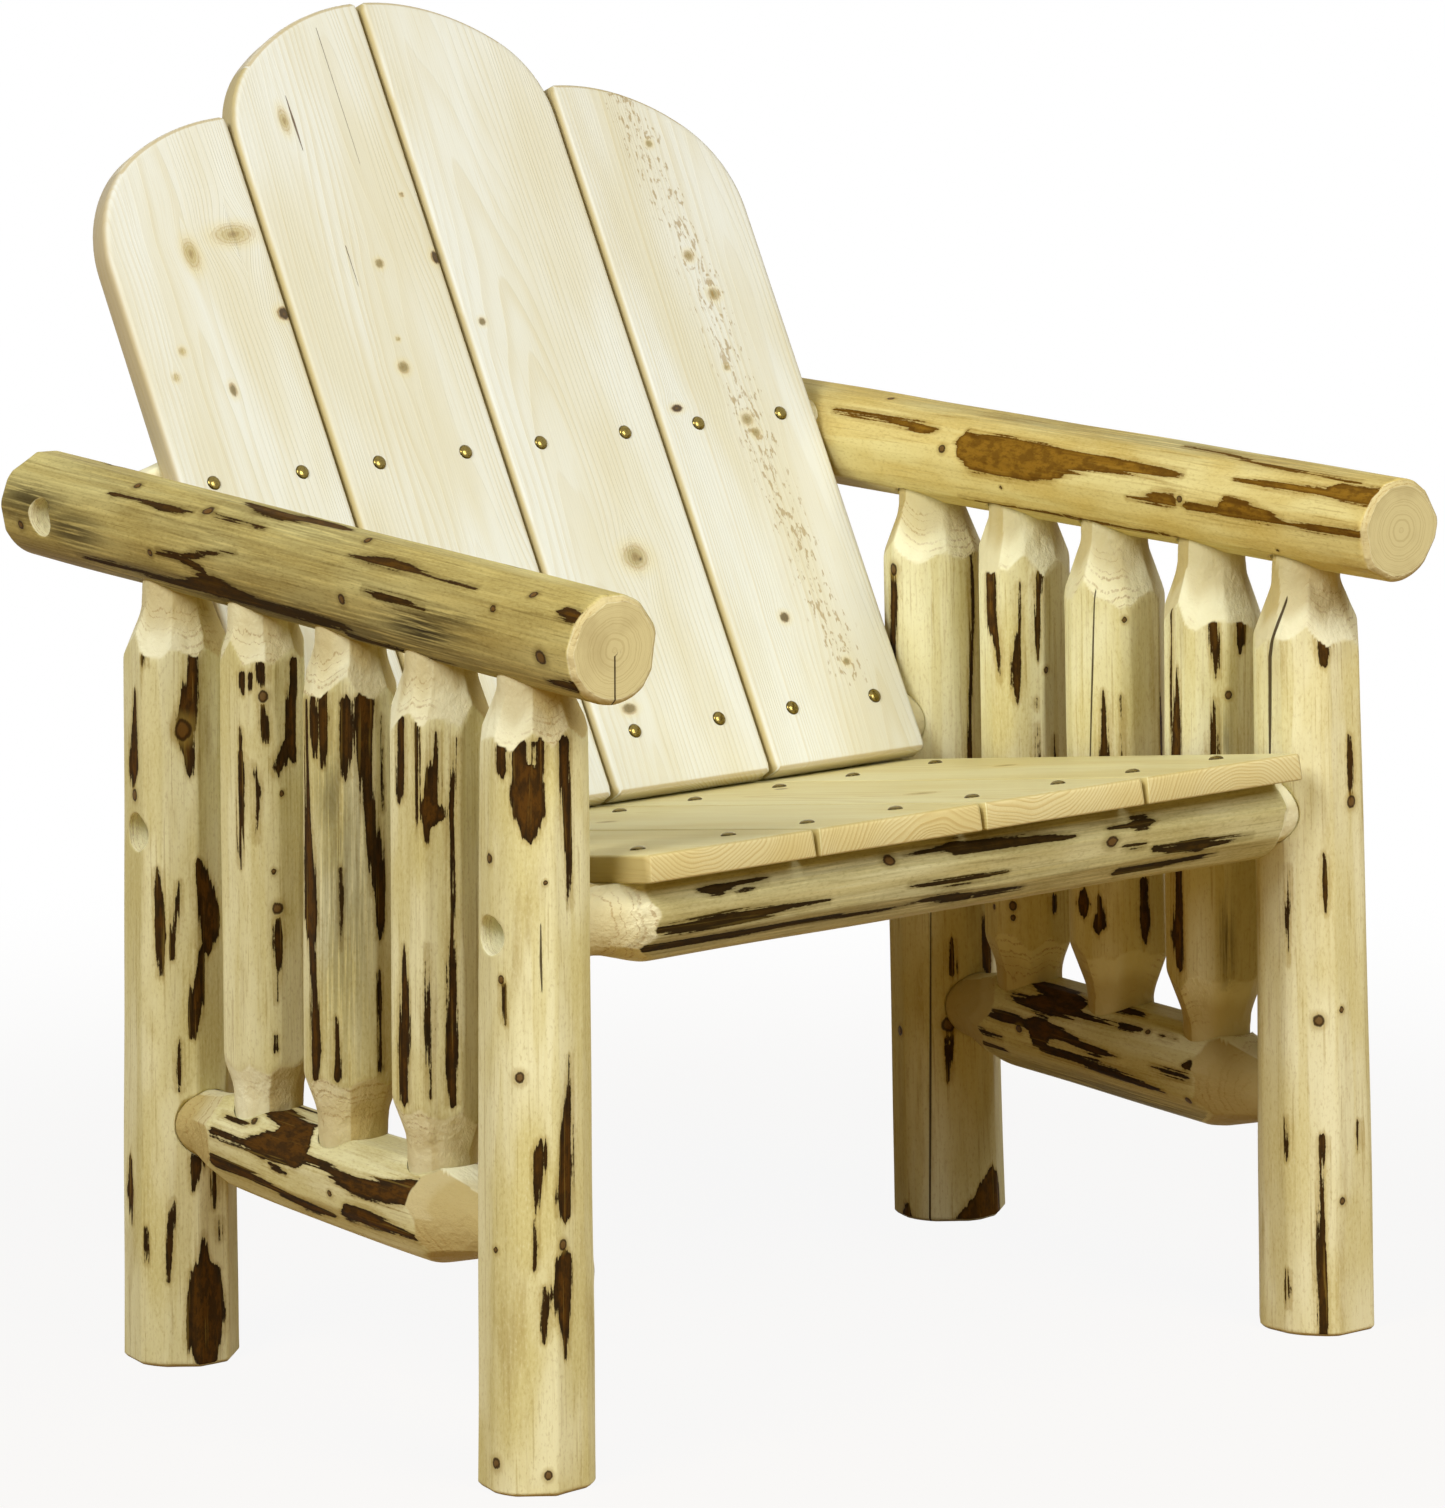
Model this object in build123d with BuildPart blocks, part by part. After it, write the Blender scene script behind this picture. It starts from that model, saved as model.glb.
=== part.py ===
from build123d import *
from math import acos, asin, atan2, cos, degrees, pi, radians, sin, tan
import os

# Armchair of peeled logs: two side frames with bored mortises and round tenons, three cross rails
# drawn in by lag bolts, and planed boards screwed to flats on the rails. Millimetres, +Z up, front
# towards -Y, left towards -X, origin on the floor at the middle of the outer box.

# Planed boards of the seat and the back
board_width = 140
board_thickness = 19
board_gap = 3
board_ease = 3
seat_overhang = 54
seat_tail = 30
back_lean = 30
back_clearance = 1
pair_height = 621
pair_arch_rise = 103
pair_side_radius = 75
outer_height = 543
outer_arch_rise = 113
outer_side_radius = 82

# Side frames
side_room = 16.5
upright_pitch = 105.5
post_foot_diameter = 79
post_top_diameter = 71
foot_chamfer = 2.5
arm_height = 584
arm_front_diameter = 73
arm_rear_diameter = 70
arm_front_overhang = 91
arm_rear_overhang = 170
arm_chamfer = 4
lower_rail_diameter = 66
lower_rail_heights = {"left": 171, "right": 161}
spindle_diameters = {"left": (69, 67, 62), "right": (70, 70, 65)}

# Cross rails and the flats that carry the boards
cross_rail_height = 380
front_rail_diameter = 70
rear_rail_diameter = 68
upper_rail_diameter = 68
seat_flat = 22
under_flat = 28.5
back_flat = 16
flat_margin = 6

# Round tenons, with shoulders cut by drawknife into flat facets
tenon_diameter = 44
facet_count = 8
facet_run_out = 0.97
upright_shoulder = 25
rail_shoulder = 15
upright_neck = 9
rail_neck = 3
arm_tenon_depth = 38
spindle_tenon_depth = 27
lower_rail_tenon_depth = 26
cross_rail_tenon_depth = 24
glue_line = 0.15
tenon_end_gap = 0.3

# Batten under the seat
cleat_width = 89
cleat_thickness = 38
cleat_inset = 20
cleat_ease = 3
cleat_distance = 96

# Domed wood screws
screw_head_diameter = 11
screw_head_height = 3
screw_head_taper = 40
screw_diameter = 4.5
screw_grip = 26
screw_offset = 38
lower_row_lift = 10

# Lag bolts and washers, sunk in counterbores
counterbore_diameter = 27
counterbore_depth = 26
bolt_diameter = 9.5
bolt_length = 76
bolt_head_width = 14.3
bolt_head_height = 6.4
washer_diameter = 25
washer_thickness = 2
bolt_clearance = 0.4
pilot_clearance = 0.1
pilot_end_room = 2

# Board layout across the chair, and the span between front and rear uprights
board_pitch = board_width + board_gap
board_centres = [board_pitch * step for step in (-1.5, -0.5, 0.5, 1.5)]
boards_width = 4 * board_width + 3 * board_gap
arch_half_width = board_width + board_gap / 2
half_width = boards_width / 2 + side_room + post_foot_diameter / 2
span = 4 * upright_pitch
tenon_radius = tenon_diameter / 2
facet_root = facet_run_out * tenon_radius * cos(pi / facet_count)

# The seat drops from its flat on the front rail to its flat under the rear rail
slope = asin((seat_flat + board_thickness + under_flat) / span)
lean = radians(back_lean)
seat_normal = Vector(0, sin(slope), cos(slope))
back_normal = Vector(0, -cos(lean), sin(lean))

# The back boards start just above the seat, measured along the board from the rear rail's axis
back_start = (back_clearance - under_flat - back_flat * sin(lean - slope)) / cos(lean - slope)
upper_rise = (arm_height - cross_rail_height) / cos(lean)

# The outer box runs from the arms' front ends to the rear edge of the tallest back boards
rear_reach = span - back_flat * cos(lean) + (back_start + pair_height) * sin(lean)
front_y = (arm_front_overhang - rear_reach) / 2
rear_y = front_y + span
arm_front_y = front_y - arm_front_overhang
arm_length = arm_front_overhang + span + arm_rear_overhang
post_rows = {"front": front_y, "rear": rear_y}
spindle_names = ("front", "middle", "rear")
spindle_rows = [(name, front_y + upright_pitch * step) for step, name in enumerate(spindle_names, 1)]

front_axis = Vector(0, front_y, cross_rail_height)
rear_axis = Vector(0, rear_y, cross_rail_height)
upper_axis = rear_axis + Vector(0, sin(lean), cos(lean)) * upper_rise

# Faces of the boards that are seen: top of the seat above the front rail, front of the back
seat_top = Plane(
    origin=front_axis + seat_normal * (seat_flat + board_thickness),
    x_dir=(1, 0, 0),
    z_dir=seat_normal,
)
back_front = Plane(
    origin=rear_axis + back_normal * (back_flat + board_thickness),
    x_dir=(1, 0, 0),
    z_dir=back_normal,
)
seat_rear_row = span * cos(slope)
cleat_row = seat_rear_row - cleat_distance
seat_start = -seat_overhang
seat_length = seat_overhang + seat_rear_row + seat_tail


def arm_radius(y):
    """Radius of an arm at a place along it: it thins towards the rear."""
    share = (y - arm_front_y) / arm_length
    return (arm_front_diameter + (arm_rear_diameter - arm_front_diameter) * share) / 2


def post_root(y):
    """Height at which a post's or spindle's shoulder has narrowed to its tenon, below the arm."""
    return arm_height - arm_radius(y) - upright_neck


def post_radius(y, z):
    """Radius of a post at a height: it thins from the foot to the shoulder."""
    share = z / post_root(y)
    return (post_foot_diameter + (post_top_diameter - post_foot_diameter) * share) / 2


def screw_points(row):
    """Two screws for each board, along one row of a board plane."""
    return [(centre + side * screw_offset, row) for centre in board_centres for side in (-1, 1)]


def drawknife(shoulder):
    """A many-sided point along +Z: what is left inside it is a shoulder cut into flat facets.

    Its small end lies at the origin, a little narrower than the tenon, so that every facet runs
    out on the tenon.
    """
    reach = arm_length + tenon_diameter
    with BuildPart() as point:
        with BuildSketch(Plane.XY.offset(-reach)):
            RegularPolygon(facet_root + reach * tan(radians(shoulder)), facet_count, major_radius=False)
        extrude(amount=reach, taper=shoulder)
    return point.part


upright_point = drawknife(upright_shoulder)
rail_point = drawknife(rail_shoulder)


def peeled_log(start, along, radial, length, diameters, tenons, point):
    """A tapered log whose ends carry faceted shoulders and round tenons, or are left sawn.

    The length runs from root to root, each tenon reaches out beyond its root, and a tenon of
    zero leaves that end sawn square.
    """
    start = Vector(start)
    along = Vector(along)
    ends = [(start, -along, tenons[0]), (start + along * length, along, tenons[1])]
    tenoned = [end for end in ends if end[2] > 0]
    with BuildPart() as log:
        with BuildSketch(Plane(origin=start, x_dir=radial, z_dir=Vector(radial).cross(along))):
            with BuildLine():
                Polyline(
                    (0, 0),
                    (diameters[0] / 2, 0),
                    (diameters[1] / 2, length),
                    (0, length),
                    close=True,
                )
            make_face()
        revolve(axis=Axis(start, along))
        for root, outward, reach in tenoned:
            root_plane = Plane(origin=root, x_dir=radial, z_dir=outward)
            add(root_plane.location * point, mode=Mode.INTERSECT)
        for root, outward, reach in tenoned:
            with BuildSketch(Plane(origin=root - outward * tenon_radius, x_dir=radial, z_dir=outward)):
                Circle(tenon_radius)
            extrude(amount=tenon_radius + reach)
    return log.part


def mortise(floor, mouth, radial, depth):
    """The bored hole that takes a tenon, from its floor out past the log's surface."""
    with BuildPart() as bore:
        with BuildSketch(Plane(origin=floor, x_dir=radial, z_dir=mouth)):
            Circle(tenon_radius + glue_line)
        extrude(amount=depth)
    return bore.part


def rail_floor(log_radius):
    """Distance from the middle of the chair to the floor of a cross rail's mortise."""
    return half_width - log_radius + cross_rail_tenon_depth + tenon_end_gap


def bolt_seat(log_radius):
    """Distance from the middle of the chair to the counterbore's floor."""
    return half_width + log_radius - counterbore_depth


def bolted_mortise(side, centre, log_radius):
    """Mortise from inside, counterbore from outside and the bolt's hole that joins them."""
    floor = rail_floor(log_radius)
    seat = bolt_seat(log_radius)
    floor_plane = Plane(origin=(side * floor, centre.Y, centre.Z), x_dir=(0, 1, 0), z_dir=(side, 0, 0))
    seat_plane = floor_plane.offset(seat - floor)
    with BuildPart() as bore:
        with BuildSketch(floor_plane):
            Circle(tenon_radius + glue_line)
        extrude(amount=-2 * cross_rail_tenon_depth)
        with BuildSketch(seat_plane):
            Circle(counterbore_diameter / 2)
        extrude(amount=2 * counterbore_depth)
        with BuildSketch(floor_plane):
            Circle(bolt_diameter / 2 + bolt_clearance)
        extrude(amount=seat - floor + counterbore_depth / 2, both=True)
    return bore.part


def save(piece, name):
    """Names a finished piece and writes it to its own file."""
    piece.part.label = name
    export_step(piece.part, f"parts/{name}.step")


os.makedirs("parts", exist_ok=True)
sides = {"left": -1, "right": 1}

# Radius of the post or arm that each cross rail is bolted into, at that joint
front_joint_radius = post_radius(front_y, cross_rail_height)
rear_joint_radius = post_radius(rear_y, cross_rail_height)
upper_joint_radius = arm_radius(upper_axis.Y)

# Posts: sawn feet on the floor, tenon into the arm, mortises for the lower rail and a cross rail
for side_name, side in sides.items():
    for row_name, y in post_rows.items():
        inward = 1 if row_name == "front" else -1
        rail_height = lower_rail_heights[side_name]
        rail_radius = post_radius(y, rail_height)
        rail_mortise_floor = Vector(
            side * half_width,
            y + inward * (rail_radius - lower_rail_tenon_depth - tenon_end_gap),
            rail_height,
        )
        with BuildPart() as post:
            add(
                peeled_log(
                    (side * half_width, y, 0),
                    (0, 0, 1),
                    (1, 0, 0),
                    post_root(y),
                    (post_foot_diameter, post_top_diameter),
                    (0, upright_neck + arm_tenon_depth),
                    upright_point,
                )
            )
            chamfer(post.faces().sort_by(Axis.Z)[0].edges(), foot_chamfer)
            add(
                bolted_mortise(side, Vector(0, y, cross_rail_height), post_radius(y, cross_rail_height)),
                mode=Mode.SUBTRACT,
            )
            add(
                mortise(rail_mortise_floor, (0, inward, 0), (1, 0, 0), post_foot_diameter),
                mode=Mode.SUBTRACT,
            )
        save(post, f"{side_name}_{row_name}_post")

# Arms: sawn and chamfered ends, five mortises from below and a bolted mortise near the rear
for side_name, side in sides.items():
    upright_places = list(post_rows.values()) + [y for name, y in spindle_rows]
    with BuildPart() as arm:
        add(
            peeled_log(
                (side * half_width, arm_front_y, arm_height),
                (0, 1, 0),
                (0, 0, 1),
                arm_length,
                (arm_front_diameter, arm_rear_diameter),
                (0, 0),
                rail_point,
            )
        )
        chamfer(arm.faces().filter_by(Axis.Y).edges(), arm_chamfer)
        for y in upright_places:
            floor_height = arm_height - arm_radius(y) + arm_tenon_depth + tenon_end_gap
            add(
                mortise((side * half_width, y, floor_height), (0, 0, -1), (1, 0, 0), arm_front_diameter),
                mode=Mode.SUBTRACT,
            )
        add(bolted_mortise(side, upper_axis, upper_joint_radius), mode=Mode.SUBTRACT)
    save(arm, f"{side_name}_arm")

# Lower rails: a tenon into each post, and three mortises on top for the spindles
for side_name, side in sides.items():
    height = lower_rail_heights[side_name]
    front_root = front_y + post_radius(front_y, height) + rail_neck
    rear_root = rear_y - post_radius(rear_y, height) - rail_neck
    rail_reach = rail_neck + lower_rail_tenon_depth
    spindle_floor = height + lower_rail_diameter / 2 - spindle_tenon_depth - tenon_end_gap
    with BuildPart() as lower_rail:
        add(
            peeled_log(
                (side * half_width, front_root, height),
                (0, 1, 0),
                (0, 0, 1),
                rear_root - front_root,
                (lower_rail_diameter, lower_rail_diameter),
                (rail_reach, rail_reach),
                rail_point,
            )
        )
        for name, y in spindle_rows:
            add(
                mortise((side * half_width, y, spindle_floor), (0, 0, 1), (1, 0, 0), lower_rail_diameter),
                mode=Mode.SUBTRACT,
            )
    save(lower_rail, f"{side_name}_lower_rail")

# Spindles: tenoned into the lower rail and the arm
for side_name, side in sides.items():
    for (row_name, y), diameter in zip(spindle_rows, spindle_diameters[side_name]):
        foot_root = lower_rail_heights[side_name] + lower_rail_diameter / 2 + upright_neck
        with BuildPart() as spindle:
            add(
                peeled_log(
                    (side * half_width, y, foot_root),
                    (0, 0, 1),
                    (1, 0, 0),
                    post_root(y) - foot_root,
                    (diameter, diameter),
                    (upright_neck + spindle_tenon_depth, upright_neck + arm_tenon_depth),
                    upright_point,
                )
            )
        save(spindle, f"{side_name}_{row_name}_spindle")


def cross_rail(axis, diameter, log_radius):
    """A log across the chair, tenoned into both sides, with a pilot hole for each lag bolt."""
    root = half_width - log_radius - rail_neck
    tenon_end = root + rail_neck + cross_rail_tenon_depth
    pilot_end = bolt_seat(log_radius) + washer_thickness - bolt_length - pilot_end_room
    with BuildPart() as rail:
        add(
            peeled_log(
                axis - Vector(root, 0, 0),
                (1, 0, 0),
                (0, 0, 1),
                2 * root,
                (diameter, diameter),
                (rail_neck + cross_rail_tenon_depth, rail_neck + cross_rail_tenon_depth),
                rail_point,
            )
        )
        for side in sides.values():
            pilot_point = axis + Vector(side * pilot_end, 0, 0)
            with BuildSketch(Plane(origin=pilot_point, x_dir=(0, 1, 0), z_dir=(side, 0, 0))):
                Circle(bolt_diameter / 2 + pilot_clearance)
            extrude(amount=tenon_end - pilot_end, mode=Mode.SUBTRACT)
    return rail.part


flat_length = boards_width + 2 * flat_margin
pilot_radius = screw_diameter / 2 + pilot_clearance
pilot_depth = board_thickness + screw_grip + pilot_end_room
seat_underside = seat_top.offset(-board_thickness)
back_rear = back_front.offset(-board_thickness)

# Front seat rail: a planed flat on top, square to the seat, with the front row of screws
with BuildPart() as front_seat_rail:
    add(cross_rail(front_axis, front_rail_diameter, front_joint_radius))
    with BuildSketch(seat_underside):
        Rectangle(flat_length, 2 * front_rail_diameter)
    extrude(amount=front_rail_diameter, mode=Mode.SUBTRACT)
    with BuildSketch(seat_top):
        with Locations(*screw_points(0)):
            Circle(pilot_radius)
    extrude(amount=-pilot_depth, mode=Mode.SUBTRACT)
save(front_seat_rail, "front_seat_rail")

# Rear seat rail: one flat carries the back boards, one underneath takes the seat boards' ends
with BuildPart() as rear_seat_rail:
    add(cross_rail(rear_axis, rear_rail_diameter, rear_joint_radius))
    with BuildSketch(back_rear):
        Rectangle(flat_length, 2 * rear_rail_diameter)
    extrude(amount=rear_rail_diameter, mode=Mode.SUBTRACT)
    with BuildSketch(seat_top):
        with Locations((0, seat_rear_row)):
            Rectangle(flat_length, 2 * rear_rail_diameter)
    extrude(amount=-rear_rail_diameter, mode=Mode.SUBTRACT)
    with BuildSketch(back_front):
        with Locations(*screw_points(lower_row_lift)):
            Circle(pilot_radius)
    extrude(amount=-pilot_depth, mode=Mode.SUBTRACT)
    with BuildSketch(seat_underside):
        with Locations(*screw_points(seat_rear_row)):
            Circle(pilot_radius)
    extrude(amount=pilot_depth, mode=Mode.SUBTRACT)
save(rear_seat_rail, "rear_seat_rail")

# Upper back rail: bolted between the arms, with one flat for the back boards
with BuildPart() as upper_back_rail:
    add(cross_rail(upper_axis, upper_rail_diameter, upper_joint_radius))
    with BuildSketch(back_rear):
        with Locations((0, upper_rise)):
            Rectangle(flat_length, 2 * upper_rail_diameter)
    extrude(amount=upper_rail_diameter, mode=Mode.SUBTRACT)
    with BuildSketch(back_front):
        with Locations(*screw_points(upper_rise)):
            Circle(pilot_radius)
    extrude(amount=-pilot_depth, mode=Mode.SUBTRACT)
save(upper_back_rail, "upper_back_rail")

# Seat boards: from the front overhang to the rear rail, with eased top edges
for number, centre in enumerate(board_centres, 1):
    hole_rows = (0, cleat_row, seat_rear_row)
    holes = [(centre + side * screw_offset, row) for side in (-1, 1) for row in hole_rows]
    with BuildPart() as seat_board:
        with BuildSketch(seat_underside):
            with Locations((centre, seat_start + seat_length / 2)):
                Rectangle(board_width, seat_length)
        extrude(amount=board_thickness)
        top_face = seat_board.faces().sort_by(Axis(seat_top.origin, seat_normal))[-1]
        fillet(top_face.edges(), board_ease)
        with BuildSketch(seat_top):
            with Locations(*holes):
                Circle(pilot_radius)
        extrude(amount=-board_thickness, mode=Mode.SUBTRACT)
    save(seat_board, f"seat_board_{number}")



def arch_turns(rise, side_radius):
    """Radius of an arch's crown arc, the angle its side arc turns, and that of its crown arc.

    The side arc leaves the board's outer edge without a corner, the crown arc carries on from it
    and would run level at the crown, half a joint beyond the board's inner edge.
    """
    reach = arch_half_width - side_radius
    crown_radius = (reach**2 + rise**2 - side_radius**2) / (2 * (rise - side_radius))
    side_turn = atan2(crown_radius - rise, reach)
    crown_turn = acos(board_gap / 2 / crown_radius) - side_turn
    return crown_radius, side_turn, crown_turn


# Back boards: the middle pair shares one arch, each outer board has its own half of one
for number, centre in enumerate(board_centres, 1):
    outward = 1 if centre > 0 else -1
    middle = abs(centre) < board_pitch
    height = pair_height if middle else outer_height
    rise = pair_arch_rise if middle else outer_arch_rise
    side_radius = pair_side_radius if middle else outer_side_radius
    crown_radius, side_turn, crown_turn = arch_turns(rise, side_radius)
    edge = centre + outward * board_width / 2
    spring = back_start + height - rise
    hole_rows = (lower_row_lift, upper_rise)
    holes = [(centre + side * screw_offset, row) for side in (-1, 1) for row in hole_rows]
    with BuildPart() as back_board:
        with BuildSketch(back_rear):
            with BuildLine():
                side_arc = JernArc((edge, spring), (0, 1), side_radius, outward * degrees(side_turn))
                crown_arc = JernArc(side_arc @ 1, side_arc % 1, crown_radius, outward * degrees(crown_turn))
                top = crown_arc @ 1
                Polyline(top, (top.X, back_start), (edge, back_start), (edge, spring))
            make_face()
        extrude(amount=board_thickness)
        front_face = back_board.faces().sort_by(Axis(back_front.origin, back_normal))[-1]
        fillet(front_face.edges(), board_ease)
        with BuildSketch(back_front):
            with Locations(*holes):
                Circle(pilot_radius)
        extrude(amount=-board_thickness, mode=Mode.SUBTRACT)
    save(back_board, f"back_board_{number}")

# Seat cleat: a sawn batten across the undersides of the seat boards
with BuildPart() as seat_cleat:
    with BuildSketch(seat_underside):
        with Locations((0, cleat_row)):
            Rectangle(boards_width - 2 * cleat_inset, cleat_width)
    extrude(amount=-cleat_thickness)
    fillet(seat_cleat.edges().filter_by(Axis.X), cleat_ease)
    with BuildSketch(seat_underside):
        with Locations(*screw_points(cleat_row)):
            Circle(pilot_radius)
    extrude(amount=-(screw_grip + pilot_end_room), mode=Mode.SUBTRACT)
save(seat_cleat, "seat_cleat")


def domed_screws(face, points):
    """Screws driven square into a board's face: low domed heads on it, shanks into the wood."""
    with BuildPart() as screws:
        with BuildSketch(face):
            with Locations(*points):
                Circle(screw_head_diameter / 2)
        extrude(amount=screw_head_height, taper=screw_head_taper)
        with BuildSketch(face):
            with Locations(*points):
                Circle(screw_diameter / 2)
        extrude(amount=-(board_thickness + screw_grip))
    return screws


save(domed_screws(seat_top, screw_points(0) + screw_points(cleat_row)), "seat_screws")
save(domed_screws(back_front, screw_points(lower_row_lift) + screw_points(upper_rise)), "back_screws")
rear_end_face = Plane(origin=seat_underside.origin, x_dir=(-1, 0, 0), z_dir=-seat_normal)
save(domed_screws(rear_end_face, screw_points(seat_rear_row)), "rear_end_screws")

# Lag bolts and washers, one of each in every counterbore
bolt_places = []
for axis, log_radius in (
    (front_axis, front_joint_radius),
    (rear_axis, rear_joint_radius),
    (upper_axis, upper_joint_radius),
):
    for side in sides.values():
        seat_point = axis + Vector(side * bolt_seat(log_radius), 0, 0)
        bolt_places.append(Plane(origin=seat_point, x_dir=(0, 1, 0), z_dir=(side, 0, 0)))

with BuildPart() as lag_washers:
    with BuildSketch(*bolt_places):
        Circle(washer_diameter / 2)
        Circle(bolt_diameter / 2 + bolt_clearance, mode=Mode.SUBTRACT)
    extrude(amount=washer_thickness)
save(lag_washers, "lag_washers")

with BuildPart() as lag_bolts:
    with BuildSketch(*[place.offset(washer_thickness) for place in bolt_places]):
        RegularPolygon(bolt_head_width / 2, 6, major_radius=False)
    extrude(amount=bolt_head_height)
    with BuildSketch(*[place.offset(washer_thickness) for place in bolt_places]):
        Circle(bolt_diameter / 2)
    extrude(amount=-bolt_length)
save(lag_bolts, "lag_bolts")
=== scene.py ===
import bpy
import numpy as np
from mathutils import Matrix, Vector


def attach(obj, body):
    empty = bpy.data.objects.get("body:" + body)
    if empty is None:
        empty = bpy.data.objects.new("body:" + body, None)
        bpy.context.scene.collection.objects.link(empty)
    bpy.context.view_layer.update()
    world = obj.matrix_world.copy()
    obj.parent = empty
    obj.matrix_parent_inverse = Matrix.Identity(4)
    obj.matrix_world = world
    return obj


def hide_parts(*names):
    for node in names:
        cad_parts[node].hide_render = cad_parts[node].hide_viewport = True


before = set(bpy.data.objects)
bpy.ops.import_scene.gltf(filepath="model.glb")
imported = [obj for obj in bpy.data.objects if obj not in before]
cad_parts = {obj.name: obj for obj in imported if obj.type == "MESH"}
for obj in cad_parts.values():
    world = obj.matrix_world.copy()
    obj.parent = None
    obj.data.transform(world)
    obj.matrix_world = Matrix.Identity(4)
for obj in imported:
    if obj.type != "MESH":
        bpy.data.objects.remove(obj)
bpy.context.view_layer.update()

# Posts: four peeled pine logs on sawn feet. A drawknife leaves long flats with brown inner bark in
# the hollows between them; each top is shaved to a faceted shoulder and a round tenon for the arm.
MM = 0.001
COLUMNS = 144
COLUMN_STEP = 2 * np.pi / COLUMNS
ROW_STEP = 2.4
TENON_ROW_STEP = 9.0
LEAST_ROW_STEP = 0.35
TENON_RADIUS = 23.4
NECK_RADIUS = 24.0
MORTISE_RADIUS = 24.1
COUNTERBORE_RADIUS = 13.5
HOLE_MARGIN, HOLE_EASE = 4.5, 0.5
FACETS = 7
FACET_FOOT, CONE_FOOT = 21.2, 21.8
HEWN_SHARE = (0.35, 0.6)
SHOULDER_REACH = 60
CHAMFER_TONE = 0.8
STREAKS, SPECKS = 12, 3
GRAZING = 0.3
NO_BARK, NO_KNOT, NO_CHECK = -9.0, 4.0, (9.0, -1.0)
CUT_WOOD, SAWN_WOOD = 1.0, 2.0
PLACE, GRAIN, MARKS, CHECK, WORKED = slice(0, 3), slice(3, 6), slice(6, 9), slice(7, 9), slice(9, 12)
DIRECTIONS = {"x": ((1, 0, 0), (0, 0, 1)), "y": ((0, 1, 0), (0, 0, 1)), "z": ((0, 0, 1), (1, 0, 0))}


def soft_min(values, width):
    """Smallest of several arrays, rounded over where two meet: -width log of the sum of exp(-v/width)."""
    low = values.min(axis=0)
    return low - width * np.log(np.exp((low - values) / width).sum(axis=0))


def ease(low, high, value):
    """Smooth step: 0 below low, 1 above high, and 3t^2 - 2t^3 between them."""
    t = np.clip((value - low) / (high - low), 0, 1)
    return t * t * (3 - 2 * t)


def turned(angle):
    """Angle brought between minus and plus half a turn."""
    return (angle + np.pi) % (2 * np.pi) - np.pi


def followed(spots, along):
    """Middle and half width of a mark at each place along it, and the distance beyond its ends.

    The mark is a row of (middle, along, half width) spots, and what lies between them is interpolated.
    """
    middles, places, widths = np.array(sorted(spots, key=lambda spot: spot[1])).T
    beyond = np.maximum(np.maximum(places[0] - along, along - places[-1]), 0)
    return np.interp(along, places, middles), np.interp(along, places, widths), beyond


def nearest_check(checks, along, distance, reach, fade, limit):
    """Signed distance from the nearest drying check, and its half width there, less as it runs out.

    A check counts up to reach beyond its ends, narrowing by fade, and up to limit on either side.
    """
    signed, width = (np.full(np.shape(along), value) for value in NO_CHECK)
    for check in checks:
        middle, half, beyond = followed(check, along)
        away = distance(middle)
        near = (np.abs(away) < np.abs(signed)) & (beyond < reach)
        signed = np.where(near, away, signed)
        width = np.where(near, half - fade * beyond, width)
    return signed, np.where(np.abs(signed) < limit, width, NO_CHECK[1])


class Shell:
    """A surface as it grows: a table of values for its points, quads between rings, and fans."""

    def __init__(self):
        self.rows, self.quads, self.triangles = [], [], []
        self.count = 0

    def add(self, rows):
        """Takes in more points and gives their numbers."""
        self.rows.append(rows)
        self.count += len(rows)
        return np.arange(self.count - len(rows), self.count)

    def bridge(self, outer, inner):
        """Quads between two closed rings of points."""
        self.quads.append(np.stack([outer, np.roll(outer, -1), np.roll(inner, -1), inner], 1))

    def fan(self, ring, rows):
        """Triangles from a closed ring to one more point."""
        self.triangles.append(np.stack([ring, np.roll(ring, -1), np.repeat(self.add(rows), len(ring))], 1))


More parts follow.
